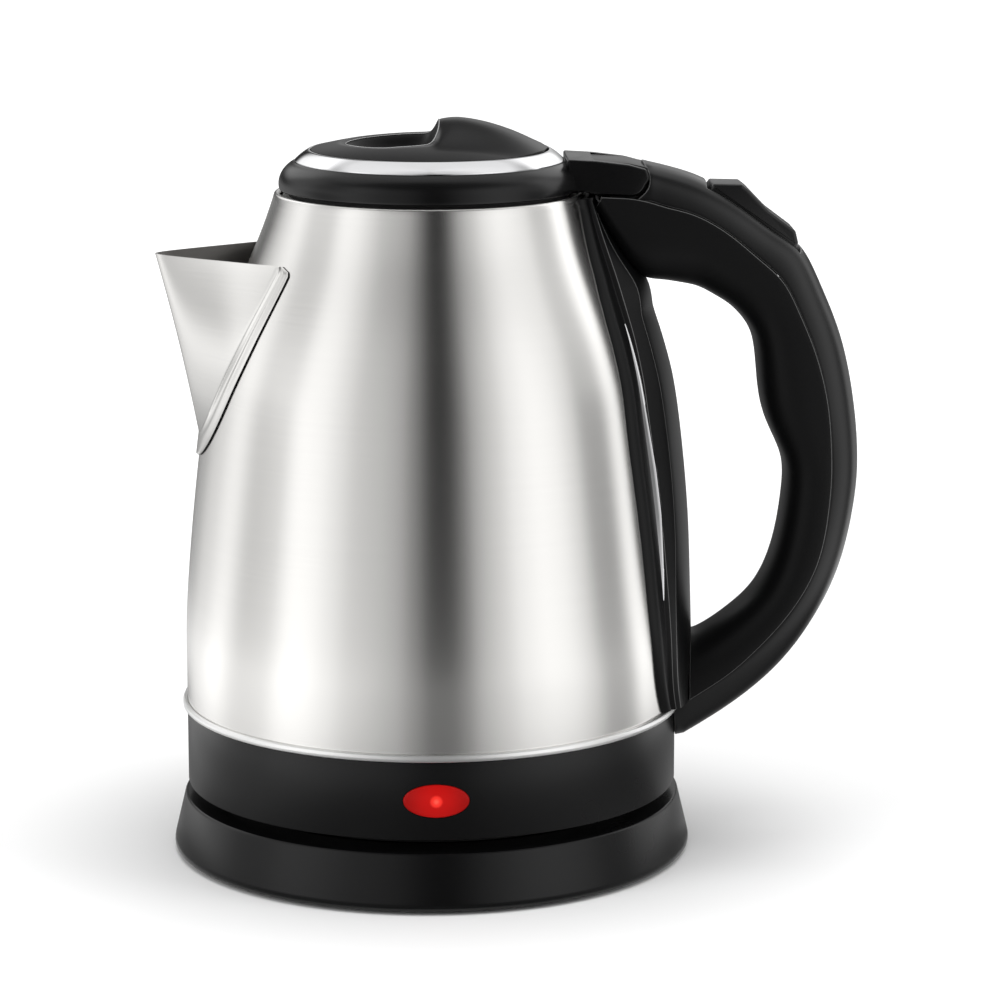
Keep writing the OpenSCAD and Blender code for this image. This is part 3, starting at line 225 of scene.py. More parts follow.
def put_mesh(name, points, faces, sharp=35.0):
    """Mesh object from points in millimetres and a list of face arrays. A closed mesh whose
    signed volume comes out negative has all its faces turned round."""
    points = np.asarray(points, np.float32).reshape(-1, 3) * np.float32(MM)
    corners = np.concatenate([np.asarray(f, np.int32).ravel() for f in faces])
    sizes = np.concatenate([np.full(len(f), np.shape(f)[1]) for f in faces])
    starts = np.concatenate([[0], np.cumsum(sizes)[:-1]]).astype(np.int32)
    mesh = bpy.data.meshes.new(name)
    for items, count, key, values in (
            (mesh.vertices, len(points), "co", points.ravel()),
            (mesh.loops, len(corners), "vertex_index", corners),
            (mesh.polygons, len(sizes), "loop_start", starts)):
        items.add(count)
        items.foreach_set(key, values)
    mesh.update(calc_edges=True)
    mesh.validate()
    if signed_volume(mesh) < 0:
        mesh.flip_normals()
    mesh.shade_smooth()
    mesh.set_sharp_from_angle(angle=math.radians(sharp))
    obj = bpy.data.objects.new(name, mesh)
    bpy.context.scene.collection.objects.link(obj)
    return obj


def mark_faces(obj, start, rows, cols, chosen, finish):
    """Marks the chosen rows and columns of a block of grid faces for another finish."""
    marks = values_of(obj.data.polygons, "material_index", kind=np.int32)
    marks[start:start + rows * cols].reshape(rows, cols)[chosen] = finish
    obj.data.polygons.foreach_set("material_index", marks.ravel())


def settle(obj, body, nodes, slot, *finishes):
    """The piece rides on its body, stands for its CAD nodes and takes its finishes: the
    first, and the others where its faces were marked for them. With none given, the finish
    is named as the slot is."""
    marks = values_of(obj.data.polygons, "material_index", kind=np.int32)
    obj.data.materials.clear()
    for finish in finishes or (slot,):
        obj.data.materials.append(FINISH[finish])
    obj.data.polygons.foreach_set("material_index", marks.ravel())
    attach(obj, body)
    if nodes:
        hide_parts(*nodes)


def lathe(name, profile, segments):
    """Ring turned from a closed outline: point k at angle t is (r cos t, r sin t, z)."""
    t = full_turn(segments)[:, None]
    r, z = profile[None, :, 0], profile[None, :, 1]
    points = np.stack([r * np.cos(t), r * np.sin(t), z + 0 * t], -1)
    return put_mesh(name, points, [grid_faces(segments, len(profile), True, True)])


def plate(name, outline, half_width, edge, steps=4, centre=0.0):
    """Plate cut from an outline in the X-Z plane, its long edges rounded: layer k is the
    outline moved inward by e(1 - sin a) at a distance w - e(1 - cos a) from the middle."""
    outline = np.asarray(outline, float)
    if np.cross(outline, np.roll(outline, -1, 0)).sum() < 0:
        outline = outline[::-1]
    ahead = unit(np.roll(outline, -1, 0) - outline)
    mean = unit(ahead + np.roll(ahead, 1, 0))
    inward = np.stack([-mean[:, 1], mean[:, 0]], 1)
    a = np.linspace(0, np.pi / 2, steps + 1)[:, None]
    away, inset = half_width - edge * (1 - np.cos(a)), edge * (1 - np.sin(a))
    y = np.concatenate([-away, away[::-1]]) + centre
    flat = outline + inward * np.concatenate([inset, inset[::-1]])[..., None]
    points = np.stack([flat[..., 0], np.broadcast_to(y, flat.shape[:2]), flat[..., 1]], -1)
    return put_mesh(name, points, tube_faces(*flat.shape[:2]))


def two_skins(name, outer, inner, sharp=35.0):
    """Closed shell between two grids of equal size, joined round their borders."""
    rows, cols = outer.shape[:2]
    size = rows * cols
    number = np.arange(size).reshape(rows, cols)
    border = np.concatenate([number[0, :], number[1:, -1], number[-1, -2::-1], number[-2:0:-1, 0]])
    ahead = np.roll(border, -1)
    rim = np.stack([border, border + size, ahead + size, ahead], 1)
    faces = grid_faces(rows, cols)
    points = np.concatenate([outer.reshape(-1, 3), inner.reshape(-1, 3)])
    return put_mesh(name, points, [faces, size + faces[:, ::-1], rim], sharp)


def rods(name, starts, ends, radius, sides=24):
    """Straight round rods, one for each pair of ends, as one cutter: the rim's points are
    r (u cos t + v sin t) from the end, with u and v square to the axis."""
    starts, ends = np.array(starts, float), np.array(ends, float)
    axis = unit(ends - starts)
    u = unit(np.cross(axis, np.where(np.abs(axis[:, 2:]) > 0.9, [[1.0, 0, 0]], [[0, 0, 1.0]])))
    v = np.cross(axis, u)
    t = full_turn(sides)[None, :, None]
    rim = radius * (np.cos(t) * u[:, None] + np.sin(t) * v[:, None])
    points = np.stack([starts[:, None] + rim, ends[:, None] + rim], 1)
    first = np.arange(len(starts))[:, None, None] * 2 * sides
    wall, *caps = ((first + faces).reshape(-1, faces.shape[1]) for faces in tube_faces(2, sides))
    return put_mesh(name, points, [wall, *caps])


def finish_with(obj, *modifiers):
    """Adds modifiers, given as (type, settings), and applies them to the mesh."""
    while len(obj.data.materials) < 2:
        obj.data.materials.append(None)
    for kind, values in modifiers:
        m = obj.modifiers.new(kind.title(), kind)
        for key, value in values.items():
            setattr(m, key, value)
    graph = bpy.context.evaluated_depsgraph_get()
    done = bpy.data.meshes.new_from_object(obj.evaluated_get(graph))
    obj.modifiers.clear()
    old = obj.data
    obj.data = done
    bpy.data.meshes.remove(old)
    done.shade_smooth()
    done.set_sharp_from_angle(angle=math.radians(35))
    return obj


def cut_with(obj, cutter):
    """Takes the cutter's solid out of the piece, then drops the cutter."""
    finish_with(obj, ("BOOLEAN", {"operation": "DIFFERENCE", "solver": "EXACT", "object": cutter}))
    bpy.data.objects.remove(cutter)


def join_meshes(obj, *others):
    """Adds the other pieces' meshes to the first piece."""
    with bpy.context.temp_override(active_object=obj, selected_editable_objects=[obj, *others]):
        bpy.ops.object.join()


# ---- shader nodes ----

def feed(tree, socket, value):
    """Links a node's output to the socket, or sets the socket's own value."""
    if isinstance(value, bpy.types.NodeSocket):
        tree.links.new(value, socket)
    else:
        socket.default_value = value


def add_node(tree, kind, inputs, **settings):
    """Shader node with its settings made and its inputs, by name or place, fed."""
    node = tree.nodes.new("ShaderNode" + kind)
    for key, value in settings.items():
        setattr(node, key, value)
    for key, value in inputs.items():
        feed(tree, node.inputs[key], value)
    return node


def math_node(tree, operation, first, *others):
    """The first value worked on by each of the others in turn. Each is a link or a number."""
    for other in others:
        first = add_node(tree, "Math", {0: first, 1: other}, operation=operation).outputs[0]
    return first


def object_place(tree):
    """Object coordinates."""
    return tree.nodes.new("ShaderNodeTexCoord").outputs["Object"]


def measure(tree, operation, *vectors):
    """Number that a vector operation gives: a length, a distance or a dot product."""
    node = add_node(tree, "VectorMath", dict(enumerate(vectors)), operation=operation)
    return node.outputs["Value"]


def noise(tree, place, **values):
    """Noise at a place. The values name its sockets."""
    return add_node(tree, "TexNoise", {"Vector": place, **values}).outputs["Fac"]


def eased(tree, value, low, high, out_low=0.0, out_high=1.0, kind="SMOOTHSTEP"):
    """Map of a value from low..high to out_low..out_high, eased unless kind says LINEAR."""
    return add_node(tree, "MapRange", {
        "Value": value, "From Min": low, "From Max": high, "To Min": out_low,
        "To Max": out_high}, interpolation_type=kind).outputs["Result"]


def colour_ramp(tree, value, stops, kind="LINEAR"):
    """Colour ramp through the stops, each a position and a colour."""
    node = add_node(tree, "ValToRGB", {"Fac": value})
    ramp = node.color_ramp
    ramp.interpolation = kind
    ramp.elements.remove(ramp.elements[1])
    for k, (position, colour) in enumerate(stops):
        stop = ramp.elements.new(position) if k else ramp.elements[0]
        stop.position = position
        stop.color = (*colour, 1.0)
    return node.outputs["Color"]


def shades(tree, value, colour, contrast):
    """The colour a little darker at low values and a little lighter at high ones."""
    low = [c * (1 - contrast) for c in colour]
    high = [min(1.0, c * (1 + contrast)) for c in colour]
    return colour_ramp(tree, value, ((0.3, low), (0.7, high)))


def bump(tree, height, distance, strength):
    """Normal of a surface raised by the height times the distance, in metres."""
    return add_node(tree, "Bump", {"Height": height, "Distance": distance,
                                   "Strength": strength}).outputs["Normal"]


def seen_by(tree, *rays):
    """1 for rays of the named kinds and 0 for others."""
    path = tree.nodes.new("ShaderNodeLightPath").outputs
    return math_node(tree, "MAXIMUM", *(path[f"Is {ray} Ray"] for ray in rays))


def new_group(name, inputs, outputs):
    """Shader group, with the sockets that its inputs come from and its outputs go to. All
    are numbers, and the inputs have defaults."""
    tree = bpy.data.node_groups.new(name, "ShaderNodeTree")
    for label, default in inputs.items():
        tree.interface.new_socket(
            label, in_out="INPUT", socket_type="NodeSocketFloat").default_value = default
    for label in outputs:
        tree.interface.new_socket(label, in_out="OUTPUT", socket_type="NodeSocketFloat")
    given, out = tree.nodes.new("NodeGroupInput"), tree.nodes.new("NodeGroupOutput")
    return tree, given.outputs, out.inputs


def brush_lines_group():
    """Hairlines of brushed metal: noise that is stretched far along the brushing and is
    fine across it."""
    tree, given, out = new_group(
        "Brush lines", {"Across": 2600.0, "Along": 18.0, "Depth": 0.5}, ["Lines"])
    scale = add_node(tree, "CombineXYZ", {
        "X": given["Along"], "Y": given["Along"], "Z": given["Across"]}).outputs[0]
    place = add_node(tree, "VectorMath", {0: object_place(tree), 1: scale}, operation="MULTIPLY")
    lines = noise(tree, place.outputs[0], Scale=1.0, Detail=3.0, Roughness=0.65)
    centred = math_node(tree, "SUBTRACT", lines, 0.5)
    deep = math_node(tree, "MULTIPLY", centred, given["Depth"])
    feed(tree, out["Lines"], math_node(tree, "ADD", deep, 0.5))
    return tree


def moulded_group():
    """Moulded surface: fine eroded grain as height, and slow patches of gloss where hands
    have rubbed it."""
    tree, given, out = new_group(
        "Moulded grain", {"Grain size": 2200.0, "Rub size": 22.0, "Rub amount": 0.08},
        ["Grain", "Rub"])
    place = object_place(tree)
    feed(tree, out["Grain"], noise(tree, place, Scale=given["Grain size"], Detail=2.0))
    rub = noise(tree, place, Scale=given["Rub size"], Detail=3.0)
    rub = math_node(tree, "SUBTRACT", rub, 0.5)
    feed(tree, out["Rub"], math_node(tree, "MULTIPLY", rub, given["Rub amount"]))
    return tree


# ---- finishes ----

GROUPS = {}
FINISH = {}

# Name, tint, roughness, fineness of the lines across and along the brushing, then where
# they differ from brushed_metal's own: depth, contrast, height in metres, anisotropy
METALS = {
    "pot_steel": ("Brushed pot steel", "steel", 0.26, 2600, 14, 0.45, 0.03, 2e-6, 0.75),
    "spout_steel": ("Brushed spout steel", "steel", 0.24, 2200, 26, 0.4, 0.03, 2e-6, 0.3),
    "dull_steel": ("Dull steel", (0.2, 0.195, 0.19), 0.34, 1200, 40),
    # Near-black steel that paints a shadow along the spout's edge on the pot
    "spout_edge_shadow": ("Wiped weld", (0.012, 0.012, 0.012), 0.5, 1500, 300),
    "inner_steel": ("Inner steel", (0.6, 0.59, 0.58), 0.35, 900, 60),
    "zinc": ("Zinc plating", (0.62, 0.62, 0.63), 0.3, 3000, 900),
    "element_steel": ("Annealed sheath", (0.2, 0.19, 0.18), 0.45, 1500, 300),
    "bimetal": ("Bimetal", (0.55, 0.44, 0.32), 0.35, 1500, 200),
    "aluminium": ("Cast aluminium", (0.7, 0.7, 0.71), 0.5, 700, 500, 0.6, 0.05, 3e-5),
    "brass": ("Contact brass", (0.78, 0.58, 0.24), 0.28, 2500, 700),
    "chrome": ("Polished plating", (0.82, 0.82, 0.83), 0.09, 400, 200, 0.6, 0.015, 5e-7),
    "bead_steel": ("Bright bead steel", (0.97, 0.97, 0.96), 0.4, 900, 120, 0.6, 0.02, 1e-6)}

# Name, tint, roughness, fineness of the grain, its height in metres, specular level
PLASTICS = {
    "black_gloss": ("Semi-gloss black", "black", 0.26, 3000, 4e-6, 0.3),
    "black_satin": ("Satin black", "black", 0.31, 2600, 8e-6, 0.5),
    "black_strap": ("Strap black", "black", 0.36, 2600, 8e-6, 0.2),
    "black_grip": ("Soft grip black", "black", 0.44, 1900, 2e-5, 0.2),
    # Lighter black that paints a highlight along rounded edges, folds and seams
    "black_edge": ("Rubbed black edge", (0.07, 0.07, 0.07), 0.3, 2600, 4e-6, 0.5),
    # Grey that paints a highlight along the lip of the lid's scoop
    "scoop_lip_highlight": ("Rubbed scoop rim", (0.3, 0.3, 0.3), 0.25, 2600, 4e-6, 0.5),
    "black_lid": ("Lid black", "black", 0.3, 2600, 8e-6, 0.25),
    # Darker, less glossy black that paints shade inside the lid's scoop
    "black_scoop_shade": ("Deep black", "half black", 0.5, 2600, 8e-6, 0.15),
    "black_matte": ("Matte black", "double black", 0.55, 1500, 2e-5, 0.5),
    "dark_grey": ("Dark grey plastic", (0.06, 0.06, 0.062), 0.5, 2200, 1e-5, 0.5),
    "ivory": ("Ivory plastic", (0.72, 0.68, 0.58), 0.45, 900, 1e-5, 0.5),
    "rubber": ("Foot rubber", (0.02, 0.02, 0.02), 0.75, 700, 4e-5, 0.5),
    "silicone": ("Grey silicone", (0.5, 0.5, 0.48), 0.5, 700, 2e-5, 0.5),
    "lead_sleeve": ("Woven sleeve", (0.74, 0.72, 0.64), 0.8, 2500, 1e-4, 0.5),
    "lamp": ("Lamp bulb", (0.9, 0.25, 0.18), 0.15, 500, 0.0, 0.5)}


def new_material(name, colour, **settings):
    """Principled material, its node tree and its shader's sockets. The settings name
    sockets, with _ for each space."""
    material = bpy.data.materials.new(name)
    material.use_nodes = True
    sockets = material.node_tree.nodes["Principled BSDF"].inputs
    sockets["Base Color"].default_value = (*colour, 1.0)
    for key, value in settings.items():
        sockets[key.replace("_", " ")].default_value = value
    return material, material.node_tree, sockets


def brushed_metal(name, colour, rough, across, along, depth=0.6, contrast=0.05, height=4e-6,
                  aniso=0.0):
    """Brushed metal: hairlines vary its tone, roughness and height."""
    swing = 0.05
    material, tree, sockets = new_material(name, colour, Metallic=1.0, Roughness=rough,
                                           Anisotropic=aniso, Anisotropic_Rotation=0.25)
    lines = add_node(tree, "Group", {"Across": across, "Along": along, "Depth": depth},
                     node_tree=GROUPS["brush"]).outputs["Lines"]
    feed(tree, sockets["Base Color"], shades(tree, lines, colour, contrast))
    feed(tree, sockets["Roughness"],
         eased(tree, lines, 0.0, 1.0, rough - swing, rough + swing, "LINEAR"))
    feed(tree, sockets["Normal"], bump(tree, lines, height, strength=0.5))
    return material


def moulded_plastic(name, colour, rough, grain, height, specular):
    """Moulded plastic: grain gives its height, and rubbed patches its gloss."""
    material, tree, sockets = new_material(name, colour, Roughness=rough,
                                           Specular_IOR_Level=specular)
    skin = add_node(tree, "Group", {"Grain size": grain}, node_tree=GROUPS["moulded"]).outputs
    feed(tree, sockets["Roughness"], math_node(tree, "ADD", skin["Rub"], rough))
    feed(tree, sockets["Base Color"], shades(tree, skin["Grain"], colour, contrast=0.12))
    feed(tree, sockets["Normal"], bump(tree, skin["Grain"], height, strength=0.6))
    return material


def lens_finish(colour):
    """Red lens: deep red with a painted glow in its middle, where the lamp sits behind it,
    found from the distance to the lens's middle, in centimetres."""
    material, tree, sockets = new_material("Red lens", colour, Roughness=0.3, Coat_Weight=0.1,
                                           Coat_Roughness=0.12, Specular_IOR_Level=0.1)
    middle = (0.0, -(BODY_R + 0.6) * MM, LENS_Z * MM)
    away = measure(tree, "DISTANCE", object_place(tree), middle)
    # Stops by distance in centimetres: a painted glow of the lamp in the middle, then the deep red,
    # darker towards the rim
    stops = ((0.0, (1.0, 0.12, 0.08)), (0.13, (0.95, 0.03, 0.02)), (0.22, colour),
             (1.0, [c * 0.6 for c in colour]))
    feed(tree, sockets["Base Color"],
         colour_ramp(tree, math_node(tree, "MULTIPLY", away, 100.0), stops, "EASE"))
    return material


def make_finishes(colours):
    """Makes the shader groups and every finish once."""
    GROUPS.update(brush=brush_lines_group(), moulded=moulded_group())
    black = tuple(colours.plastic)
    tints = {"steel": tuple(colours.steel), "black": black,
             "half black": [c * 0.5 for c in black], "double black": [c * 2.0 for c in black]}
    for make, table in ((brushed_metal, METALS), (moulded_plastic, PLASTICS)):
        for key, (name, tint, *values) in table.items():
            FINISH[key] = make(name, tints.get(tint, tint), *values)
    FINISH["red_lens"] = lens_finish(tuple(colours.lens))


# ---- power base and housing ----

def make_base(sizes):
    """Base shell: the CAD outline with all its edges rounded, turned round the axis, and
    the gland's hole."""
    profile = rounded(
        [[80.5, 1.2], [80.5, 3.2], [76.95, 18.0], [14.8, 18.0], [14.8, 15.6], [73.4, 15.6],
         [77.3, 4.0], [77.3, 1.2]],
        [1.0, 5.0, 0.9, 0.5, 0.3, 1.5, 0.5, 0.3], 8)
    shell = lathe("base_body", profile, sizes.segments)
    gland_z, gland_r = 9.8, 5.06
    cut_with(shell, rods("gland_cut", [[0, 60, gland_z]], [[0, 90, gland_z]], gland_r, 64))
    settle(shell, "power_base", ["base_shell"], "black_gloss")


def make_housing(sizes):
    """Lower housing: a band with rounded edges and an inward flange, cut for the lens."""
    profile = rounded(
        [[73.6, 21.7], [BODY_R, 21.7], [BODY_R, HOUSING_TOP], [69.6, HOUSING_TOP],
         [69.6, 43.9], [73.6, 43.9]],
        [0.3, 0.7, 0.4, 0.3, 0.3, 0.6], 6)
    band = lathe("housing_band", profile, sizes.segments)
    t, gap = full_turn(96), 0.15
    hole = np.stack([(LENS_HALF[0] + gap) * np.cos(t),
                     LENS_Z + (LENS_HALF[1] + gap) * np.sin(t)], 1)
    cut_with(band, plate("lens_cut", hole, 6.0, 0.01, 1, centre=-BODY_R))
    settle(band, "kettle", ["lower_housing"], "black_gloss")


def make_bead(sizes):
    """Bright bead that covers the seam between the housing and the pot: a small rounded
    outline turned round the axis."""
    bead = lathe("trim_bead", rounded(
        [[76.1, 45.8], [77.25, 45.8], [77.4, 46.9], [77.1, 48.0], [76.1, 48.0]],
        [0.1, 0.7, 0.9, 0.6, 0.1], 8), sizes.segments)
    settle(bead, "kettle", ["trim_ring"], "chrome", "bead_steel")


def make_lens(sizes):
    """Oval lens, bent round the housing: two rings of its wall, then rings that turn over
    its edge on a quarter circle, then rings that draw in to the middle by the share k of a
    low crown, which rises with 1 - (1 - k)^2."""
    edge, proud, crown, rings = 0.9, 0.45, 0.35, 11
    t = full_turn(96)[None, :]
    a = np.linspace(0, np.pi / 2, 9)[:, None]
    inward = np.linspace(0, 1, rings + 1)[1:, None]
    inset = np.concatenate([[[0.0], [0.0]], edge * (1 - np.cos(a)), 0 * inward])
    flat = np.concatenate([0 * inset[:-rings], inward])
    rise = np.concatenate([[[-4.3], [-1.0]], proud * np.sin(a), proud + 0 * inward])
    r = BODY_R + rise + crown * (1 - (1 - flat) ** 2)
    half_x, half_z = (np.where(flat > 0, (half - edge) * (1 - 0.97 * flat), half - inset)
                      for half in LENS_HALF)
    x, z = half_x * np.cos(t), LENS_Z + half_z * np.sin(t)
    points = np.stack([x, -np.sqrt(r * r - x * x), z], -1)
    lens = put_mesh("oval_lens", points, tube_faces(*x.shape))
    settle(lens, "kettle", ["indicator_lens"], "red_lens")


# ---- pot and spout ----

def strainer_lines():
    """Starts and ends of the strainer's drill lines: rows one pitch apart, each row's holes
    spread over four fifths of the spout's angle there."""
    rows, pitch, lowest, lip_turn, share, half_length = 5, 7.5, 13.5, 34.6, 0.8, 6
    lines = []
    for k in range(rows):
        z = SPOUT_FOOT + lowest + pitch * k
        r = pot_radius(z)
        step = math.degrees(pitch / r)
        reach = int(lip_turn * (z - SPOUT_FOOT) / SPOUT_RISE * share / step)
        a = np.radians(180 + step * np.arange(-reach, reach + 1))
        ring = np.stack([np.cos(a), np.sin(a), 0 * a], 1)
        lines.append([ring * (r + side) + [0, 0, z] for side in (-half_length, half_length)])
    return np.concatenate(lines, 1)


def make_pot(sizes):
    """Steel pot: the smoothed side, a rolled lip, and the same line one sheet inside,
    turned round the axis and drilled."""
    side = POT_FINE[:, ::-1]
    lip = arc(46.5, 204.3, 1.0, 20, 200, 10)
    inside = side[-5:0:-1] - [SHEET, 0.0]
    foot = [[75.2, 46.5], [70.0, 46.5], [70.0, HOUSING_TOP]]
    pot = lathe("pot_shell", np.concatenate([side, lip, inside, foot]), sizes.segments + 64)
    strainer_r, steam_r, steam_z = 2.0, 2.5, 193.3
    cut_with(pot, rods("strainer_cut", *strainer_lines(), strainer_r))
    cut_with(pot, rods("steam_cut", [[44, 0, steam_z]], [[62, 0, steam_z]], steam_r))
    settle(pot, "kettle", ["pot"], "brushed_steel", "pot_steel")


def spout_grid(offset):
    """Folded sheet of the spout, offset along its plan normal. Row t runs from the point to
    the lip, and the corner's angle grows with t to the power 0.44. Across it, c from -1 to
    1 goes from corner to corner: the panel's x is the nose's plus (corner - nose) s, where
    s is a hyperbola that rounds the nose over a few millimetres, and is never inside the
    pot. Beyond the corners the sheet lies on the pot as a flange with a pressed bead, whose
    outer edge's angle grows with t to the power 0.38 and rounds off at the lip."""
    point, clear = 0.12, 0.15
    corner_turn, corner_power, edge_turn, edge_power = 35.0, 0.44, 25.2, 0.38
    below = -point * np.cos(np.linspace(0.04, np.pi / 2, 18))[:-1]
    t = np.concatenate([below, np.linspace(0, 1, 70) ** 1.5])[:, None]
    c = np.linspace(-1.0, 1.0, 65)[None, :]
    z = SPOUT_FOOT + SPOUT_RISE * t
    up = np.maximum(t, 0.0)
    r = pot_radius(z) + clear + offset
    fall = np.sqrt(np.clip(1 - (np.minimum(t, 0) / point) ** 2, 0, 1))
    angle = np.radians(np.maximum(corner_turn * up ** corner_power, 6.0))
    foot = pot_radius(SPOUT_FOOT) + 0.2
    nose = foot + (SPOUT_NOSE - foot) * up - 0.6 * np.sin(np.pi * up) + offset
    corner_x, corner_y = r * np.cos(angle), r * np.sin(angle) * fall
    turn = np.minimum(0.14, 0.02 + 0.25 * up)
    s = (np.sqrt(c * c + turn * turn) - turn) / (np.sqrt(1 + turn * turn) - turn)
    y = corner_y * c
    on_pot = np.sqrt(r * r - y * y)
    x = np.where(t < 0, on_pot, np.maximum(nose + (corner_x - nose) * s, on_pot))
    width = np.radians(edge_turn * ((t + point) / 0.32) ** edge_power) - angle * fall
    width = width * np.sqrt(1 - np.clip((t - 0.95) / 0.0505, 0, 1) ** 2 * 0.995)
    k = np.linspace(0, 1, 21)[1:][None, :]
    bead, thinned = hill(k, 0.42, 0.16, 0.08) - hill(k, 0.2, 0.42, 0.1), ease((k - 0.5) / 0.45)
    raised = bead * np.clip(up * 6, 0, 1) - min(offset, 0.45) * thinned
    out = angle * fall + width * k
    side_x, side_y = (r + raised) * np.cos(out), (r + raised) * np.sin(out)
    x = np.concatenate([side_x[:, ::-1], x, side_x], 1)
    y = np.concatenate([-side_y[:, ::-1], y, side_y], 1)
    return np.stack([-x, y, z + 0 * x], -1)


def make_spout(sizes):
    """Spout's folded sheet between its two skins. Its inner side is duller, and its cut
    edge on the pot is darkened with a painted shadow."""
    outer = spout_grid(SHEET)
    sheet = two_skins("spout_sheet", outer, spout_grid(0.0))
    rows, cols = outer.shape[0] - 1, outer.shape[1] - 1
    mark_faces(sheet, rows * cols, rows, cols, slice(None), 1)
    # The border faces of the cut edge lying on the pot take near-black steel, a painted shadow
    edge = np.arange(2 * (rows + cols))
    shaded_rim = (edge < cols + rows) | (edge >= 2 * cols + rows)
    mark_faces(sheet, 2 * rows * cols, 1, len(edge), (0, shaded_rim), 2)
    settle(sheet, "kettle", ["spout"], "brushed_steel", "spout_steel", "dull_steel", "spout_edge_shadow")


# ---- strap ----

def strap_rows(widths, steps):
    """Half widths across the strap, mirrored: from each width to the next in its number of
    steps, down to the last."""
    half = [start + (end - start) * np.linspace(0, 1, n + 1)[None, :-1]
            for start, end, n in zip(widths, widths[1:], steps)]
    half = np.concatenate([*half, widths[-1]], 1)
    return np.concatenate([half, -half[:, -2::-1]], 1)


def strap_skins(name, z, y, height, back, y_back=None, sharp=60.0):
    """Piece of the strap: its outer skin at half widths y stands that height outside the
    pot, and its back skin stands at the height back, at half widths y or y_back."""
    skins = []
    for half, rise in ((y, height), (y if y_back is None else y_back, back)):
        r = pot_radius(z) + rise
        skins.append(np.stack([np.sqrt(r * r - half * half), half, z + 0 * half], -1))
    return two_skins(name, *skins, sharp)


def make_flange(sizes):
    """Lower layer of the strap. It rises from the steel over a quarter ellipse to a flat
    band, and a groove of Gaussian section lies along the rib's foot."""
    shoulder, band, sunk = 2.6, 2.1, 0.1
    z = np.linspace(STRAP_FOOT, STRAP_TOP, 160)[:, None]
    wide, foot = strap(1, z), strap(2, z)
    y = strap_rows([wide, wide - shoulder, foot + 1.2, foot - 0.3, 0 * z], [10, 4, 14, 6])
    rise = np.clip((wide - np.abs(y)) / shoulder, 0, 1)
    groove = hill(np.abs(y) - foot, 0.8, 0.3, 0.22)
    height = -sunk + band * np.sqrt(rise * (2 - rise)) - groove
    flange = strap_skins("strap_flange", z, y, height, -0.25)
    settle(flange, "kettle", ["spine_flange"], "black_satin", "black_strap")


def make_rib(sizes):
    """Upper layer of the strap. Its height is the lower of a straight flank and a gentle
    crown, rounded where they cross: the mean less the root of the half difference squared
    plus k squared. Its two folds and its edge carry a painted highlight."""
    flank_foot, fold_share, fold_k, lift, wall = 2.9, 0.84, 0.16, 0.1, 1.7
    z = np.linspace(STRAP_FOOT, STRAP_TOP, 190)[:, None]
    foot, top, proud = (strap(k, z) for k in (2, 3, 4))
    y = strap_rows([foot, foot - 0.3, foot - 0.6, top + 0.9, top - 2.5, 0 * z],
                   [4, 3, 6, 24, 16])
    inside = foot - np.abs(y)
    flank = flank_foot + inside * (fold_share * proud - flank_foot) / (foot - top)
    crown = proud * (1 - 0.16 * (y / top) ** 2)
    height = (flank + crown) / 2 - np.sqrt(((flank - crown) / 2) ** 2 + fold_k ** 2)
    height = height + lift - wall * (1 - ease(inside / 0.35))
    rib = strap_skins("strap_rib", z, y, height, 0.9)
    rows, cols = y.shape[0] - 1, y.shape[1] - 1
    # Faces along the fold at the rib's foot and along its crest, on both sides, take a lighter
    # black that paints a highlight
    highlit = np.array([4, 19, 20])
    mark_faces(rib, 0, rows, cols, (slice(None), np.r_[highlit, cols - 1 - highlit]), 1)
    settle(rib, "kettle", ["spine_rib"], "black_satin", "black_strap", "black_edge")


def make_inlay(sizes):
    """Bright sliver that stands in the groove on each side of the rib. Its height swells
    from its foot and falls to its top, both with the power 0.8 of the distance."""
    low, high = 84.0, 168.0
    z = np.linspace(low, high, 120)[:, None]
    share = (z - low) / (high - low)
    tall = 1.55 * (np.clip(share * 3.2, 0, 1) * np.clip((1 - share) * 1.9, 0, 1)) ** 0.8
    up = np.linspace(0, 1, 7)[None, :]
    y = strap(2, z) + 0.3 - 0.12 * up - 0.35 * np.clip((up - 0.8) * 5, 0, 1)
    height = 1.7 + (tall + 0.25) * np.minimum(up, 0.9)
    near, far = (
        strap_skins(name, z, side * y, height, height - 0.05, side * (y - 0.55), 35.0)
        for name, side in (("strap_inlay", -1), ("strap_inlay_far", 1)))
    join_meshes(near, far)
    settle(near, "kettle", [], "chrome")


# ---- handle ----

def handle_path(steps):
    """Stations of the handle along a spline. A web station's inner point lies on the strap
    at its height, and its seam lies its drop below the ears."""
    gap, ears_z = 0.4, 204.6
    outer_x, outer_z, z, drop, square = np.array(WEB).T
    inner_x = pot_radius(z) + strap(4, z) + gap
    share = (outer_z - ears_z + drop) / (outer_z - z)
    web = np.stack([outer_x, outer_z, inner_x, z, share, square], 1)
    return smooth_table(np.concatenate([web, LOOP]), steps)


def section(path, angle, half_width):
    """Superellipse sections: at angle a the depth is D/2 (1 - cos(a)^(2/n)) and the width
    w sin(a)^(2/n)."""
    outer, n = path[:, 0:2], path[:, 5:6]
    across = path[:, 2:4] - outer
    share = (1 - signed_power(np.cos(angle), 2 / n)) / 2
    y = signed_power(np.sin(angle), 2 / n) * half_width
    x, z = (outer[:, k:k + 1] + across[:, k:k + 1] * share for k in (0, 1))
    return np.stack([x, y, z], -1)


def seam_angle(path, gap):
    """Angle of the section at its seam share, moved by gap millimetres along the depth."""
    depth = np.linalg.norm(path[:, 2:4] - path[:, 0:2], axis=1)
    share = path[:, 4] + gap / depth
    return np.arccos(np.clip(signed_power(1 - 2 * share, path[:, 5] / 2), -1, 1))[:, None]


def end_on(points, radius):
    """Lays the last row on the cylinder of that radius round the pot's axis."""
    points[-1, :, 0] = np.sqrt(radius ** 2 - points[-1, :, 1] ** 2)
    return points


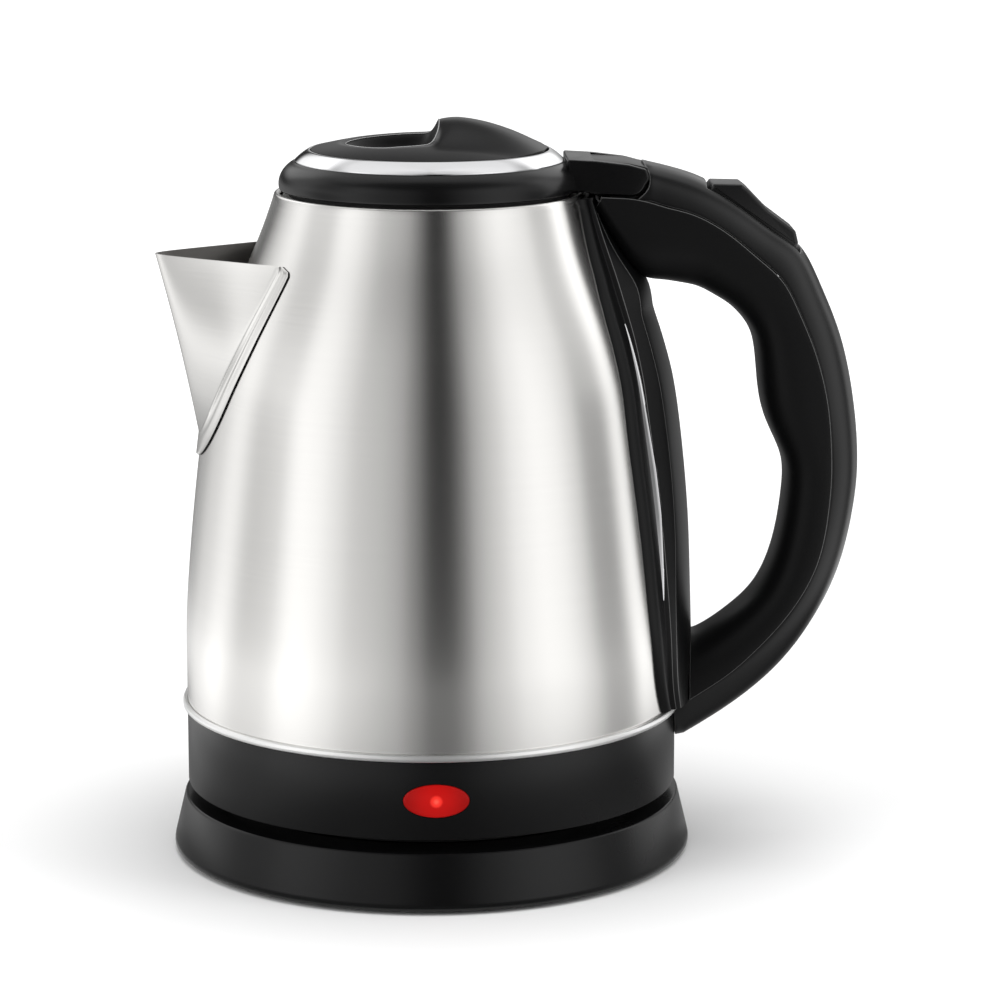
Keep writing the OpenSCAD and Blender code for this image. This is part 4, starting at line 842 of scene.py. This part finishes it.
def skin_piece(name, points, hole=None):
    """Shell from a surface: its wall is thickened inward, and its edges are rounded and
    marked for the second finish. hole is the block of faces left out, as two slices."""
    rows, cols = points.shape[:2]
    keep = np.ones((rows - 1, cols - 1), bool)
    if hole:
        keep[hole] = False
    wall, edge = 2.2, 0.3
    return finish_with(
        put_mesh(name, points, [grid_faces(rows, cols)[keep.ravel()]]),
        ("SOLIDIFY", {"thickness": wall * MM, "offset": -1.0, "use_even_offset": True}),
        ("BEVEL", {"width": edge * MM, "segments": 3, "limit_method": "ANGLE",
                   "angle_limit": math.radians(50), "material": 1}))


def make_grip(sizes):
    """Handle grip: the sections from seam to seam round the inside. It ends on the foot of
    the strap."""
    gap, end_r = 0.08, 80.7
    path = handle_path(sizes.handle_steps)
    seam = seam_angle(path, gap)
    angle = seam + (2 * np.pi - 2 * seam) * np.linspace(0, 1, 49)[None]
    grip = skin_piece("grip_shell", end_on(section(path, angle, sizes.handle_half_width), end_r))
    # The rounded edges take a lighter black that paints a highlight along them
    settle(grip, "kettle", ["handle_grip"], "black_grip", "black_grip", "black_edge")


def make_cover(sizes):
    """Handle cover: the sections from seam to seam over the outside, with the rocker's
    window between stations 6 and 9. Its first row curves round the ears."""
    gap, end_r, switch_half, ear_r, ear_reach = 0.08, 76.2, 8.9, 6.1, 5.8
    steps = sizes.handle_steps
    path = handle_path(steps)[3 * steps:]
    seam = seam_angle(path, -gap)
    window = np.arcsin((switch_half / sizes.handle_half_width) ** (path[:, 5:6] / 2))
    half = np.concatenate([window * np.linspace(0, 1, 9)[None],
                           window + (seam - window) * np.linspace(0, 1, 15)[None, 1:]], 1)
    angle = np.concatenate([-half[:, :0:-1], half], 1)
    points = end_on(section(path, angle, sizes.handle_half_width), end_r)
    lead = points[0]
    above = np.clip(lead[:, 2] - HINGE_Z, -ear_reach, ear_reach)
    near = HINGE_X + np.sqrt(ear_r ** 2 - above ** 2)
    lead[:, 2] += 0.03 * (lead[:, 0] - near) * np.maximum(lead[:, 2] - 205.0, 0)
    lead[:, 0] = near
    middle = half.shape[1] - 1
    window_rows, window_cols = slice(3 * steps, 6 * steps), slice(middle - 8, middle + 8)
    cover = skin_piece("cover_shell", points, (window_rows, window_cols))
    # The rounded edges take a lighter black that paints a highlight along them
    settle(cover, "kettle", ["handle_cover"], "black_satin", "black_satin", "black_edge")


def make_tongue(sizes):
    """Tongue of the handle between the lid's ears, and its leg: plates with rounded long
    edges."""
    outline = rounded(np.concatenate([
        arc(HINGE_X, HINGE_Z, 11.9, 153, 204, 14),
        [[51.2, 204.4], [65.8, 204.4], [66.1, 213.1], [60.2, 214.4]]]),
        [0.2] * 15 + [0.2, 1.5, 0.8, 20.0], 6)
    tongue = plate("hinge_tongue", outline, 10.0, 0.5)
    leg = [[57.5, 196.8], [64.2, 196.8], [64.2, 204.6], [55.0, 204.6]]
    join_meshes(tongue, plate("tongue_leg", leg, 9.5, 0.5))
    settle(tongue, "kettle", ["hinge_bracket"], "black_satin")


# ---- rocker ----

PIVOT = np.array([95.0774, 0.0, 192.872])
TILT = math.radians(34.9393)


def from_switch(points):
    """From the switch's frame to the kettle's: a turn by the tilt about Y, then the pivot."""
    u, y, v = points.T
    c, s = math.cos(TILT), math.sin(TILT)
    return np.stack([u * c + v * s, y, -u * s + v * c], -1) + PIVOT


def make_rocker(sizes):
    """Rocker: a cap with the saddle line as its top, and the web, boss and tail that reach
    down into the switch. All are plates in the switch's frame."""
    half = 16.0
    line = rounded([[-half, 3.4], [-half, 7.0], [-8.6, 11.9], [-6.0, 11.75], [2.6, 10.05],
                    [13.0, 9.7], [half, 7.0], [half, 3.4]],
                   [0.1, 0.8, 1.0, 6.0, 12.0, 2.2, 0.8, 0.1], 8, closed=False)
    cap = np.concatenate([line, [[14.4, 3.4], [-14.2, 3.4]]])
    body = plate("rocker_cap", cap, sizes.rocker_width / 2, 1.0, 5)
    join_meshes(
        body, plate("rocker_web", [[-5, 10.0], [5, 10.0], [2.2, 0], [-2.2, 0]], 3.5, 0.3),
        plate("rocker_boss", arc(0, 0, 2.6, 0, 345, 23), 3.5, 0.3),
        plate("rocker_tail", [[-1.2, -12], [1.2, -12], [1.2, 0], [-1.2, 0]], 3.0, 0.3))
    vertices = body.data.vertices
    moved = from_switch(values_of(vertices, "co", 3).astype(float) / MM) * MM
    vertices.foreach_set("co", moved.astype(np.float32).ravel())
    body.data.update()
    settle(body, "switch_rocker", ["rocker"], "black_satin")


# ---- lid ----

def make_collar(sizes):
    """Lid collar: a ring with a bulging side and a ledge, turned round the axis. Behind it
    the bridge and the two ears are a plate that is cut free of the tongue and of the bright
    ring, and its long edges carry a painted highlight."""
    t = np.radians(np.linspace(-6, 60, 15))
    bulge = np.stack([46.0 - 4.6 * (1 - np.cos(t)) / (1 - math.cos(t[-1])),
                      207.8 + 6.7 * np.sin(t) / math.sin(t[-1])], 1)
    profile = np.concatenate([
        [[43.2, 206.0], [45.1, 206.0]], arc(45.1, 206.8, 0.8, -80, -20, 5), bulge,
        [[41.25, 214.65], [41.1, 214.6], [41.1, 214.2], [35.1, 214.2], [35.1, 212.0],
         [43.2, 212.0]]])
    collar = lathe("lid_collar", profile, sizes.segments)
    outline = rounded(np.concatenate([
        [[41.4, 206.0], [41.4, 216.0], [50.2, 215.5], [60.0, 214.3], [65.2, 212.9]],
        arc(HINGE_X, HINGE_Z, 5.75, 20, 0, 3), arc(HINGE_X, HINGE_Z, 4.9, -18, -88, 8),
        [[48.4, 205.6], [47.6, 206.0]]]), [0.1, 0.6, 12.0, 14.0, 1.6] + [0.0] * 13 + [0.6, 0.4], 5)
    steps = 5
    ears = plate("lid_ears", outline, 13.8, 0.6, steps)
    # The rounded long edges take a lighter black that paints a highlight
    highlit = np.r_[1:steps - 1, steps + 2:2 * steps]
    mark_faces(ears, 0, 2 * steps + 1, len(outline), highlit, 1)
    cut_with(ears, plate("tongue_cut", arc(HINGE_X, HINGE_Z, 12.2, 0, 356, 89), 10.4, 0.01, 1))
    cut_with(ears, rods("ring_cut", [[0, 0, 200]], [[0, 0, 230]], 41.45, 256))
    join_meshes(collar, ears)
    settle(collar, "lid", ["lid_rim"], "black_gloss", "black_gloss", "black_edge")


def make_ring(sizes):
    """Bright ring of the lid: a slope whose middle is raised by 0.9 t (1 - t), closed
    underneath and turned round the axis."""
    t = np.linspace(0, 1, 13)
    face = np.stack([41.0 - 4.1 * t, 214.95 + 3.1 * t + 0.9 * t * (1 - t)], 1)
    profile = np.concatenate([[[36.3, 214.2], [41.0, 214.2]], face,
                              [[36.7, 218.1], [36.45, 218.1], [36.3, 217.9]]])
    settle(lathe("bright_ring", profile, sizes.segments), "lid", ["lid_ring"], "chrome")


def lid_height(x, y):
    """Height of the lid's skin: a low dome, a hump over its rear half whose crest falls to
    the rear, and less of it the further it is to the side."""
    rim_z, rim_r, dome, hump, hump_half = 218.2, 36.1, 4.4, 5.5, 27.0
    crest = np.interp(x, CREST[:, 0], CREST[:, 1])
    low = rim_z + dome * (1 - (x * x + y * y) / rim_r ** 2)
    return low + crest * hump * (1 - ease(np.abs(y) / hump_half))


def make_lid_skin(sizes):
    """Lid skin on rings round the thumb scoop, whose rim is a superellipse, squarer at its
    rear. Inside the rim they sink to a flat floor over a rounded wall, a thin lip follows
    it, and outside they run out to the bright ring, down over the skirt and back under."""
    n, middle, floor, skin_r, rolled, wall = 240, -11.8, 216.9, 36.05, 0.7, 2.2
    a = full_turn(n)[None, :]
    rear = np.cos(a) > 0
    half_x, half_y = np.where(rear, 14.9, 13.9), 18.2
    power = 2 / np.where(rear, 3.6, 1.7)
    edge_x = middle + half_x * signed_power(np.cos(a), power)
    edge_y = half_y * signed_power(np.sin(a), power)
    rim = lid_height(edge_x, edge_y) - rolled

    def drawn_in(k, z):
        """The rim drawn in to its middle by the share k, at height z."""
        return np.stack([middle + (edge_x - middle) * k, edge_y * k, z], -1)

    k = np.concatenate([np.linspace(0.02, 0.74, 10), np.linspace(0.78, 0.975, 16)])[:, None]
    scoop = drawn_in(k, floor + (rim - 0.1 - floor) * ease((k - 0.74) / 0.25) ** 0.85)
    k = np.linspace(0, np.pi, 7)[1:-1][:, None]
    lip = drawn_in(0.985 - 0.012 * np.cos(k), rim - 0.1 + 0.28 * np.sin(k))
    k = np.linspace(0.012, 1, 40)[:, None]
    b = np.arctan2(edge_y, edge_x - middle * 0.4)
    x = edge_x + (skin_r * np.cos(b) - edge_x) * k
    y = edge_y + (skin_r * np.sin(b) - edge_y) * k
    slope = np.stack([x, y, lid_height(x, y) - rolled * (1 - ease(k / 0.3)) ** 2], -1)
    top = np.concatenate([scoop, lip, slope])
    edge = top[-1:]
    inward, down = np.array([[0.0, 0.35], [0.1, 0.9], [0.1, 3.7]]).T[..., None, None]
    skirt = edge - unit(edge * [1, 1, 0]) * inward - [0, 0, 1] * down
    shrink = [0.95, 0.95, 1.0]
    under = top[::-3] * shrink - [0, 0, wall]
    points = np.concatenate([top, skirt, skirt[-1:] * shrink, under])
    rows = len(points)
    skin = put_mesh("lid_skin", points, tube_faces(rows, n), 60.0)
    lip_row = len(scoop)
    # The lip's rows take a grey that paints a highlight along the scoop's rim
    mark_faces(skin, 0, rows - 1, n, slice(lip_row, lip_row + 4), 1)
    # The scoop's inner rows take a darker black that paints shade in the hollow
    mark_faces(skin, 0, rows - 1, n, slice(0, lip_row - 1), 2)
    settle(skin, "lid", ["lid_top"], "black_gloss", "black_lid", "scoop_lip_highlight", "black_scoop_shade")


# ---- CAD nodes that stay ----

NODE_FINISH = {
    "black_matte": ("base_plate", "cord_gland", "base_connector", "kettle_connector",
                    "bottom_cover", "lid_liner"),
    "zinc": ("base_screws", "bottom_screws", "handle_screws", "hinge_pin", "rocker_pin",
             "lid_screws"),
    "brass": ("base_contacts", "connector_pins", "switch_terminals"),
    "ivory": ("thermostat", "lamp_holder", "switch_housing"),
    "rubber": ("foot_ring",), "dark_grey": ("connector_collar",),
    "inner_steel": ("pot_floor",), "aluminium": ("heat_plate",),
    "element_steel": ("heating_element",), "lamp": ("indicator_lamp",),
    "bimetal": ("steam_bimetal",), "lead_sleeve": ("switch_leads",),
    "silicone": ("lid_gasket",)}


def dress_nodes(sizes):
    """Gives each CAD node that stays in view its finish."""
    for finish, nodes in NODE_FINISH.items():
        for node in nodes:
            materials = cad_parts[node].data.materials
            materials.clear()
            materials.append(FINISH[finish])


# ---- stage ----

# Direction round the axis, in degrees from -Y towards +X, and the tent's tone there
TENT_TONES = (
    (-180, 0.30), (-163, 0.28), (-149, 0.44), (-128, 0.78), (-110, 1.05), (-93, 0.58),
    (-79, 0.68), (-66, 1.22), (-56, 1.15), (-46, 0.92), (-36, 0.66), (-26, 0.60), (-17, 0.50),
    (-8, 0.22), (-1, 0.01), (8, 0.01), (14, 0.16), (21, 0.50), (30, 0.72), (40, 1.04),
    (51, 1.20), (61, 1.12), (71, 0.85), (81, 0.34), (93, 0.30), (104, 1.25), (114, 1.15),
    (132, 0.60), (150, 0.40), (166, 0.30), (180, 0.30))


def tent_tone(tree):
    """Tone of the tent at a place of its wall, ceiling or floor, in metres. x and y are the
    place's own, away is its distance from the middle, and way its direction from there. A
    patch is a product of eased steps. Every step is given as value, start, end, and the
    outcomes at its start and end if they aren't 0 and 1."""
    def patch(*steps):
        return math_node(tree, "MULTIPLY", *(eased(tree, *step) for step in steps))

    def soft_box(aim, low, high, amount):
        dot = measure(tree, "DOT_PRODUCT", way, Vector(aim).normalized())
        return eased(tree, dot, low, high, 0.0, amount)

    place = object_place(tree)
    away = measure(tree, "LENGTH", place)
    way = add_node(tree, "VectorMath", {0: place}, operation="NORMALIZE").outputs[0]
    x, y, _ = add_node(tree, "SeparateXYZ", {0: place}).outputs
    way_x, way_y, way_z = add_node(tree, "SeparateXYZ", {0: way}).outputs
    side = add_node(tree, "Math", {0: way_x}, operation="ABSOLUTE").outputs[0]
    angle = math_node(tree, "ARCTAN2", x, math_node(tree, "MULTIPLY", y, -1.0))
    share = math_node(tree, "ADD", math_node(tree, "DIVIDE", angle, 2 * math.pi), 0.5)
    stops = [(degrees / 360 + 0.5, (tone, tone, tone)) for degrees, tone in TENT_TONES]
    tone = colour_ramp(tree, share, stops, "EASE")

    darker_by_the_base = patch((away, 0.2, 0.27, 0.2, 1.0))
    glow_by_the_base = patch((away, 0.25, 0.5, 0.12, 0.0))
    ring_on_the_floor = patch((away, 0.23, 0.29), (away, 0.32, 0.5, 0.3, 0.0))
    left_floor = patch((x, -0.1, -0.16), (away, 0.3, 0.42, 0.36, 0.0), (y, 0.12, 0.2, 1.0, 0.0))
    left_wing = patch((way_x, -0.85, -0.97, 0.0, 0.4), (way_z, 0.12, 0.24))
    dark_ceiling = patch((way_z, 0.62, 0.85, 1.0, 0.12))
    low_back = patch((way_y, 0.5, 0.85), (way_z, 0.05, 0.2, 0.0, 0.93))
    back_sides = patch((side, 0.2, 0.34), (side, 0.55, 0.7, 1.0, 0.0), (way_z, 0.22, 0.4),
                       (way_z, 0.7, 0.82, 1.0, 0.0), (way_y, 0.35, 0.55, 0.0, 1.1))
    overhead = patch((way_y, -0.2, 0.03), (way_z, 0.72, 0.84, 0.0, 0.85))
    back_box = soft_box((0.1, 0.92, 0.38), 0.95, 0.995, 0.6)
    right_box = soft_box((0.85, 0.05, 0.55), 0.9, 0.98, 0.35)

    tone = math_node(tree, "MULTIPLY", tone, darker_by_the_base)
    tone = math_node(tree, "ADD", tone, glow_by_the_base, left_floor, ring_on_the_floor, left_wing)
    tone = math_node(tree, "MULTIPLY", tone, dark_ceiling,
                     math_node(tree, "SUBTRACT", 1.0, low_back))
    return math_node(tree, "ADD", tone, back_sides, overhead, back_box, right_box)


def make_tent(sizes):
    """Studio tent: a wide turned room round the kettle, seen only in reflections."""
    near, wall, high, skin = 84.0, 1500.0, 2600.0, 3.0
    profile = np.array([[near, 1.0], [400.0, 1.0], [wall, 1.0], [wall, high], [1.0, high],
                        [1.0, high + skin], [wall + skin, high + skin], [wall + skin, 0.5],
                        [near, 0.5]])
    tent = lathe("studio_tent", profile, 96)
    material = bpy.data.materials.new("Studio tent")
    material.use_nodes = True
    tree = material.node_tree
    tree.nodes.clear()
    glow = add_node(tree, "Emission", {"Color": tent_tone(tree)})
    add_node(tree, "OutputMaterial", {"Surface": glow.outputs[0]})
    tent.data.materials.append(material)
    for ray in ("camera", "diffuse", "shadow", "transmission", "volume_scatter"):
        setattr(tent, f"visible_{ray}", False)


def make_floor(sizes):
    """Floor that runs to the horizon. Its own glow, for the camera and in reflections, is
    none under the kettle, grows a little past its base and more further out, so that the
    floor turns white there and keeps the kettle's shadow."""
    side = 9000.0
    points = np.array([[-side, -side, 0], [side, -side, 0], [side, side, 0], [-side, side, 0]])
    floor = put_mesh("studio_floor", points, [np.array([[0, 1, 2, 3]])])
    material, tree, sockets = new_material(
        "Studio floor", (0.86, 0.86, 0.86), Roughness=0.9, Specular_IOR_Level=0.0,
        Emission_Color=(1, 1, 1, 1))
    away = measure(tree, "LENGTH", object_place(tree))
    glow = math_node(tree, "ADD", eased(tree, away, 0.088, 0.15, 0.0, 0.12),
                     eased(tree, away, 0.2, 1.1, 0.0, 0.5))
    seen = seen_by(tree, "Camera", "Glossy")
    feed(tree, sockets["Emission Strength"], math_node(tree, "MULTIPLY", seen, glow))
    floor.data.materials.append(material)


def aim_lamp(name, place, target, size, power):
    """Rectangular soft box aimed at a point. The tent stands for it in reflections."""
    light = bpy.data.lights.new(name, "AREA")
    light.shape = "RECTANGLE"
    light.size, light.size_y = size
    light.energy = power
    lamp = bpy.data.objects.new(name, light)
    bpy.context.scene.collection.objects.link(lamp)
    lamp.location = place
    lamp.rotation_euler = (Vector(target) - Vector(place)).to_track_quat("-Z", "Y").to_euler()
    lamp.visible_glossy = False


def make_lights(sizes):
    """Lamps, and a world that is white to what sees it and dimmer as a light."""
    aim_lamp("top_box", (0.1, -0.1, 1.5), (0, 0, 0.1), (1.4, 1.4), 13.0)
    aim_lamp("left_box", (-1.3, -0.9, 0.8), (0, 0, 0.12), (0.7, 1.2), 9.0)
    aim_lamp("right_box", (1.4, -0.6, 0.8), (0, 0, 0.12), (0.7, 1.2), 7.0)
    world = bpy.data.worlds.new("Studio world")
    world.use_nodes = True
    bpy.context.scene.world = world
    tree, dim = world.node_tree, 0.58
    sockets = tree.nodes["Background"].inputs
    seen = seen_by(tree, "Camera", "Glossy", "Transmission")
    feed(tree, sockets["Strength"],
         math_node(tree, "ADD", math_node(tree, "MULTIPLY", seen, 1 - dim), dim))
    feed(tree, sockets["Color"], (1, 1, 1, 1))


def make_camera(sizes):
    """Camera, placed in metres by its angle round the axis, its distance and its height,
    with plain tones."""
    turn, look, pitch = (math.radians(angle) for angle in (1.0, 2.036, 11.42))
    distance, height = 1.18606, 0.3486
    data = bpy.data.cameras.new("Camera")
    data.lens = sizes.camera_lens
    data.sensor_width = 36.0
    data.clip_end = 100.0
    camera = bpy.data.objects.new("Camera", data)
    camera.location = (-distance * math.sin(turn), -distance * math.cos(turn), height)
    camera.rotation_euler = (math.pi / 2 - pitch, 0.0, -look)
    scene = bpy.context.scene
    scene.collection.objects.link(camera)
    scene.camera = camera
    scene.view_settings.view_transform = "Standard"


# ---- properties, operators, panel ----

class KettleSizes(bpy.types.PropertyGroup):
    """Sizes of the kettle's surfaces."""
    segments: bpy.props.IntProperty(
        name="Segments", description="Steps round the turned pieces", default=256, min=48)
    handle_steps: bpy.props.IntProperty(
        name="Handle steps", description="Rows from one handle station to the next",
        default=8, min=2)
    handle_half_width: bpy.props.FloatProperty(
        name="Handle half width", description="Half the width of the handle, in millimetres",
        default=13.4, min=10.0, max=15.0)
    rocker_width: bpy.props.FloatProperty(
        name="Rocker width", description="Width of the rocker, in millimetres",
        default=16.0, min=10.0, max=16.4)
    camera_lens: bpy.props.FloatProperty(
        name="Lens", description="Focal length of the camera", default=140.67, unit="CAMERA")


class KettleColours(bpy.types.PropertyGroup):
    """Colours of the kettle's finishes."""
    steel: bpy.props.FloatVectorProperty(
        name="Steel", description="Tint of the brushed steel", subtype="COLOR",
        default=(0.83, 0.82, 0.80), min=0.0, max=1.0)
    plastic: bpy.props.FloatVectorProperty(
        name="Plastic", description="Colour of the black plastic", subtype="COLOR",
        default=(0.0026, 0.0026, 0.0028), min=0.0, max=1.0)
    lens: bpy.props.FloatVectorProperty(
        name="Lens", description="Colour of the indicator lens", subtype="COLOR",
        default=(0.52, 0.003, 0.002), min=0.0, max=1.0)


class KettleOperator:
    """Runs its makers in order, each with the scene's sizes, whether it needs them or not."""
    bl_options = {"REGISTER", "UNDO"}

    def execute(self, context):
        for make in self.makers:
            make(context.scene.kettle_sizes)
        return {"FINISHED"}


class KETTLE_OT_finishes(bpy.types.Operator):
    """Makes the kettle's finishes"""
    bl_idname = "kettle.finishes"
    bl_label = "Finishes"

    def execute(self, context):
        make_finishes(context.scene.kettle_colours)
        return {"FINISHED"}


class KETTLE_OT_base(KettleOperator, bpy.types.Operator):
    """Makes the power base's body"""
    bl_idname = "kettle.base"
    bl_label = "Power base"
    makers = (make_base,)


class KETTLE_OT_housing(KettleOperator, bpy.types.Operator):
    """Makes the lower housing, its bright bead and its lens"""
    bl_idname = "kettle.housing"
    bl_label = "Lower housing"
    makers = (make_housing, make_bead, make_lens)


class KETTLE_OT_pot(KettleOperator, bpy.types.Operator):
    """Makes the steel pot and its spout"""
    bl_idname = "kettle.pot"
    bl_label = "Pot and spout"
    makers = (make_pot, make_spout)


class KETTLE_OT_strap(KettleOperator, bpy.types.Operator):
    """Makes the strap between the pot and the handle"""
    bl_idname = "kettle.strap"
    bl_label = "Strap"
    makers = (make_flange, make_rib, make_inlay)


class KETTLE_OT_handle(KettleOperator, bpy.types.Operator):
    """Makes the handle's grip and cover and the hinge's tongue"""
    bl_idname = "kettle.handle"
    bl_label = "Handle"
    makers = (make_grip, make_cover, make_tongue)


class KETTLE_OT_rocker(KettleOperator, bpy.types.Operator):
    """Makes the rocker of the switch"""
    bl_idname = "kettle.rocker"
    bl_label = "Rocker"
    makers = (make_rocker,)


class KETTLE_OT_lid(KettleOperator, bpy.types.Operator):
    """Makes the lid's collar, bright ring and skin"""
    bl_idname = "kettle.lid"
    bl_label = "Lid"
    makers = (make_collar, make_ring, make_lid_skin)


class KETTLE_OT_inner_parts(KettleOperator, bpy.types.Operator):
    """Gives the inner and lower parts their finishes"""
    bl_idname = "kettle.inner_parts"
    bl_label = "Inner parts"
    makers = (dress_nodes,)


class KETTLE_OT_stage(KettleOperator, bpy.types.Operator):
    """Makes the floor, the tent, the lamps and the camera"""
    bl_idname = "kettle.stage"
    bl_label = "Stage"
    makers = (make_floor, make_tent, make_lights, make_camera)


OPERATORS = (
    KETTLE_OT_finishes, KETTLE_OT_base, KETTLE_OT_housing, KETTLE_OT_pot, KETTLE_OT_strap,
    KETTLE_OT_handle, KETTLE_OT_rocker, KETTLE_OT_lid, KETTLE_OT_inner_parts, KETTLE_OT_stage)


class KETTLE_PT_panel(bpy.types.Panel):
    """Lists the kettle's builders"""
    bl_label = "Kettle"
    bl_idname = "KETTLE_PT_panel"
    bl_space_type = "VIEW_3D"
    bl_region_type = "UI"
    bl_category = "Kettle"

    def draw(self, context):
        for group in (context.scene.kettle_sizes, context.scene.kettle_colours):
            for key in group.__annotations__:
                self.layout.prop(group, key)
        for operator in OPERATORS:
            self.layout.operator(operator.bl_idname)


CLASSES = (KettleSizes, KettleColours, *OPERATORS, KETTLE_PT_panel)


def register():
    """Registers the classes and gives the scene their sizes and colours."""
    for cls in CLASSES:
        bpy.utils.register_class(cls)
    bpy.types.Scene.kettle_sizes = bpy.props.PointerProperty(type=KettleSizes)
    bpy.types.Scene.kettle_colours = bpy.props.PointerProperty(type=KettleColours)


def unregister():
    """Takes back what register did."""
    del bpy.types.Scene.kettle_colours
    del bpy.types.Scene.kettle_sizes
    for cls in reversed(CLASSES):
        bpy.utils.unregister_class(cls)


def main():
    """Builds everything in order."""
    register()
    for operator in OPERATORS:
        getattr(bpy.ops.kettle, operator.bl_idname.split(".")[1])()


if __name__ == "__main__":
    main()
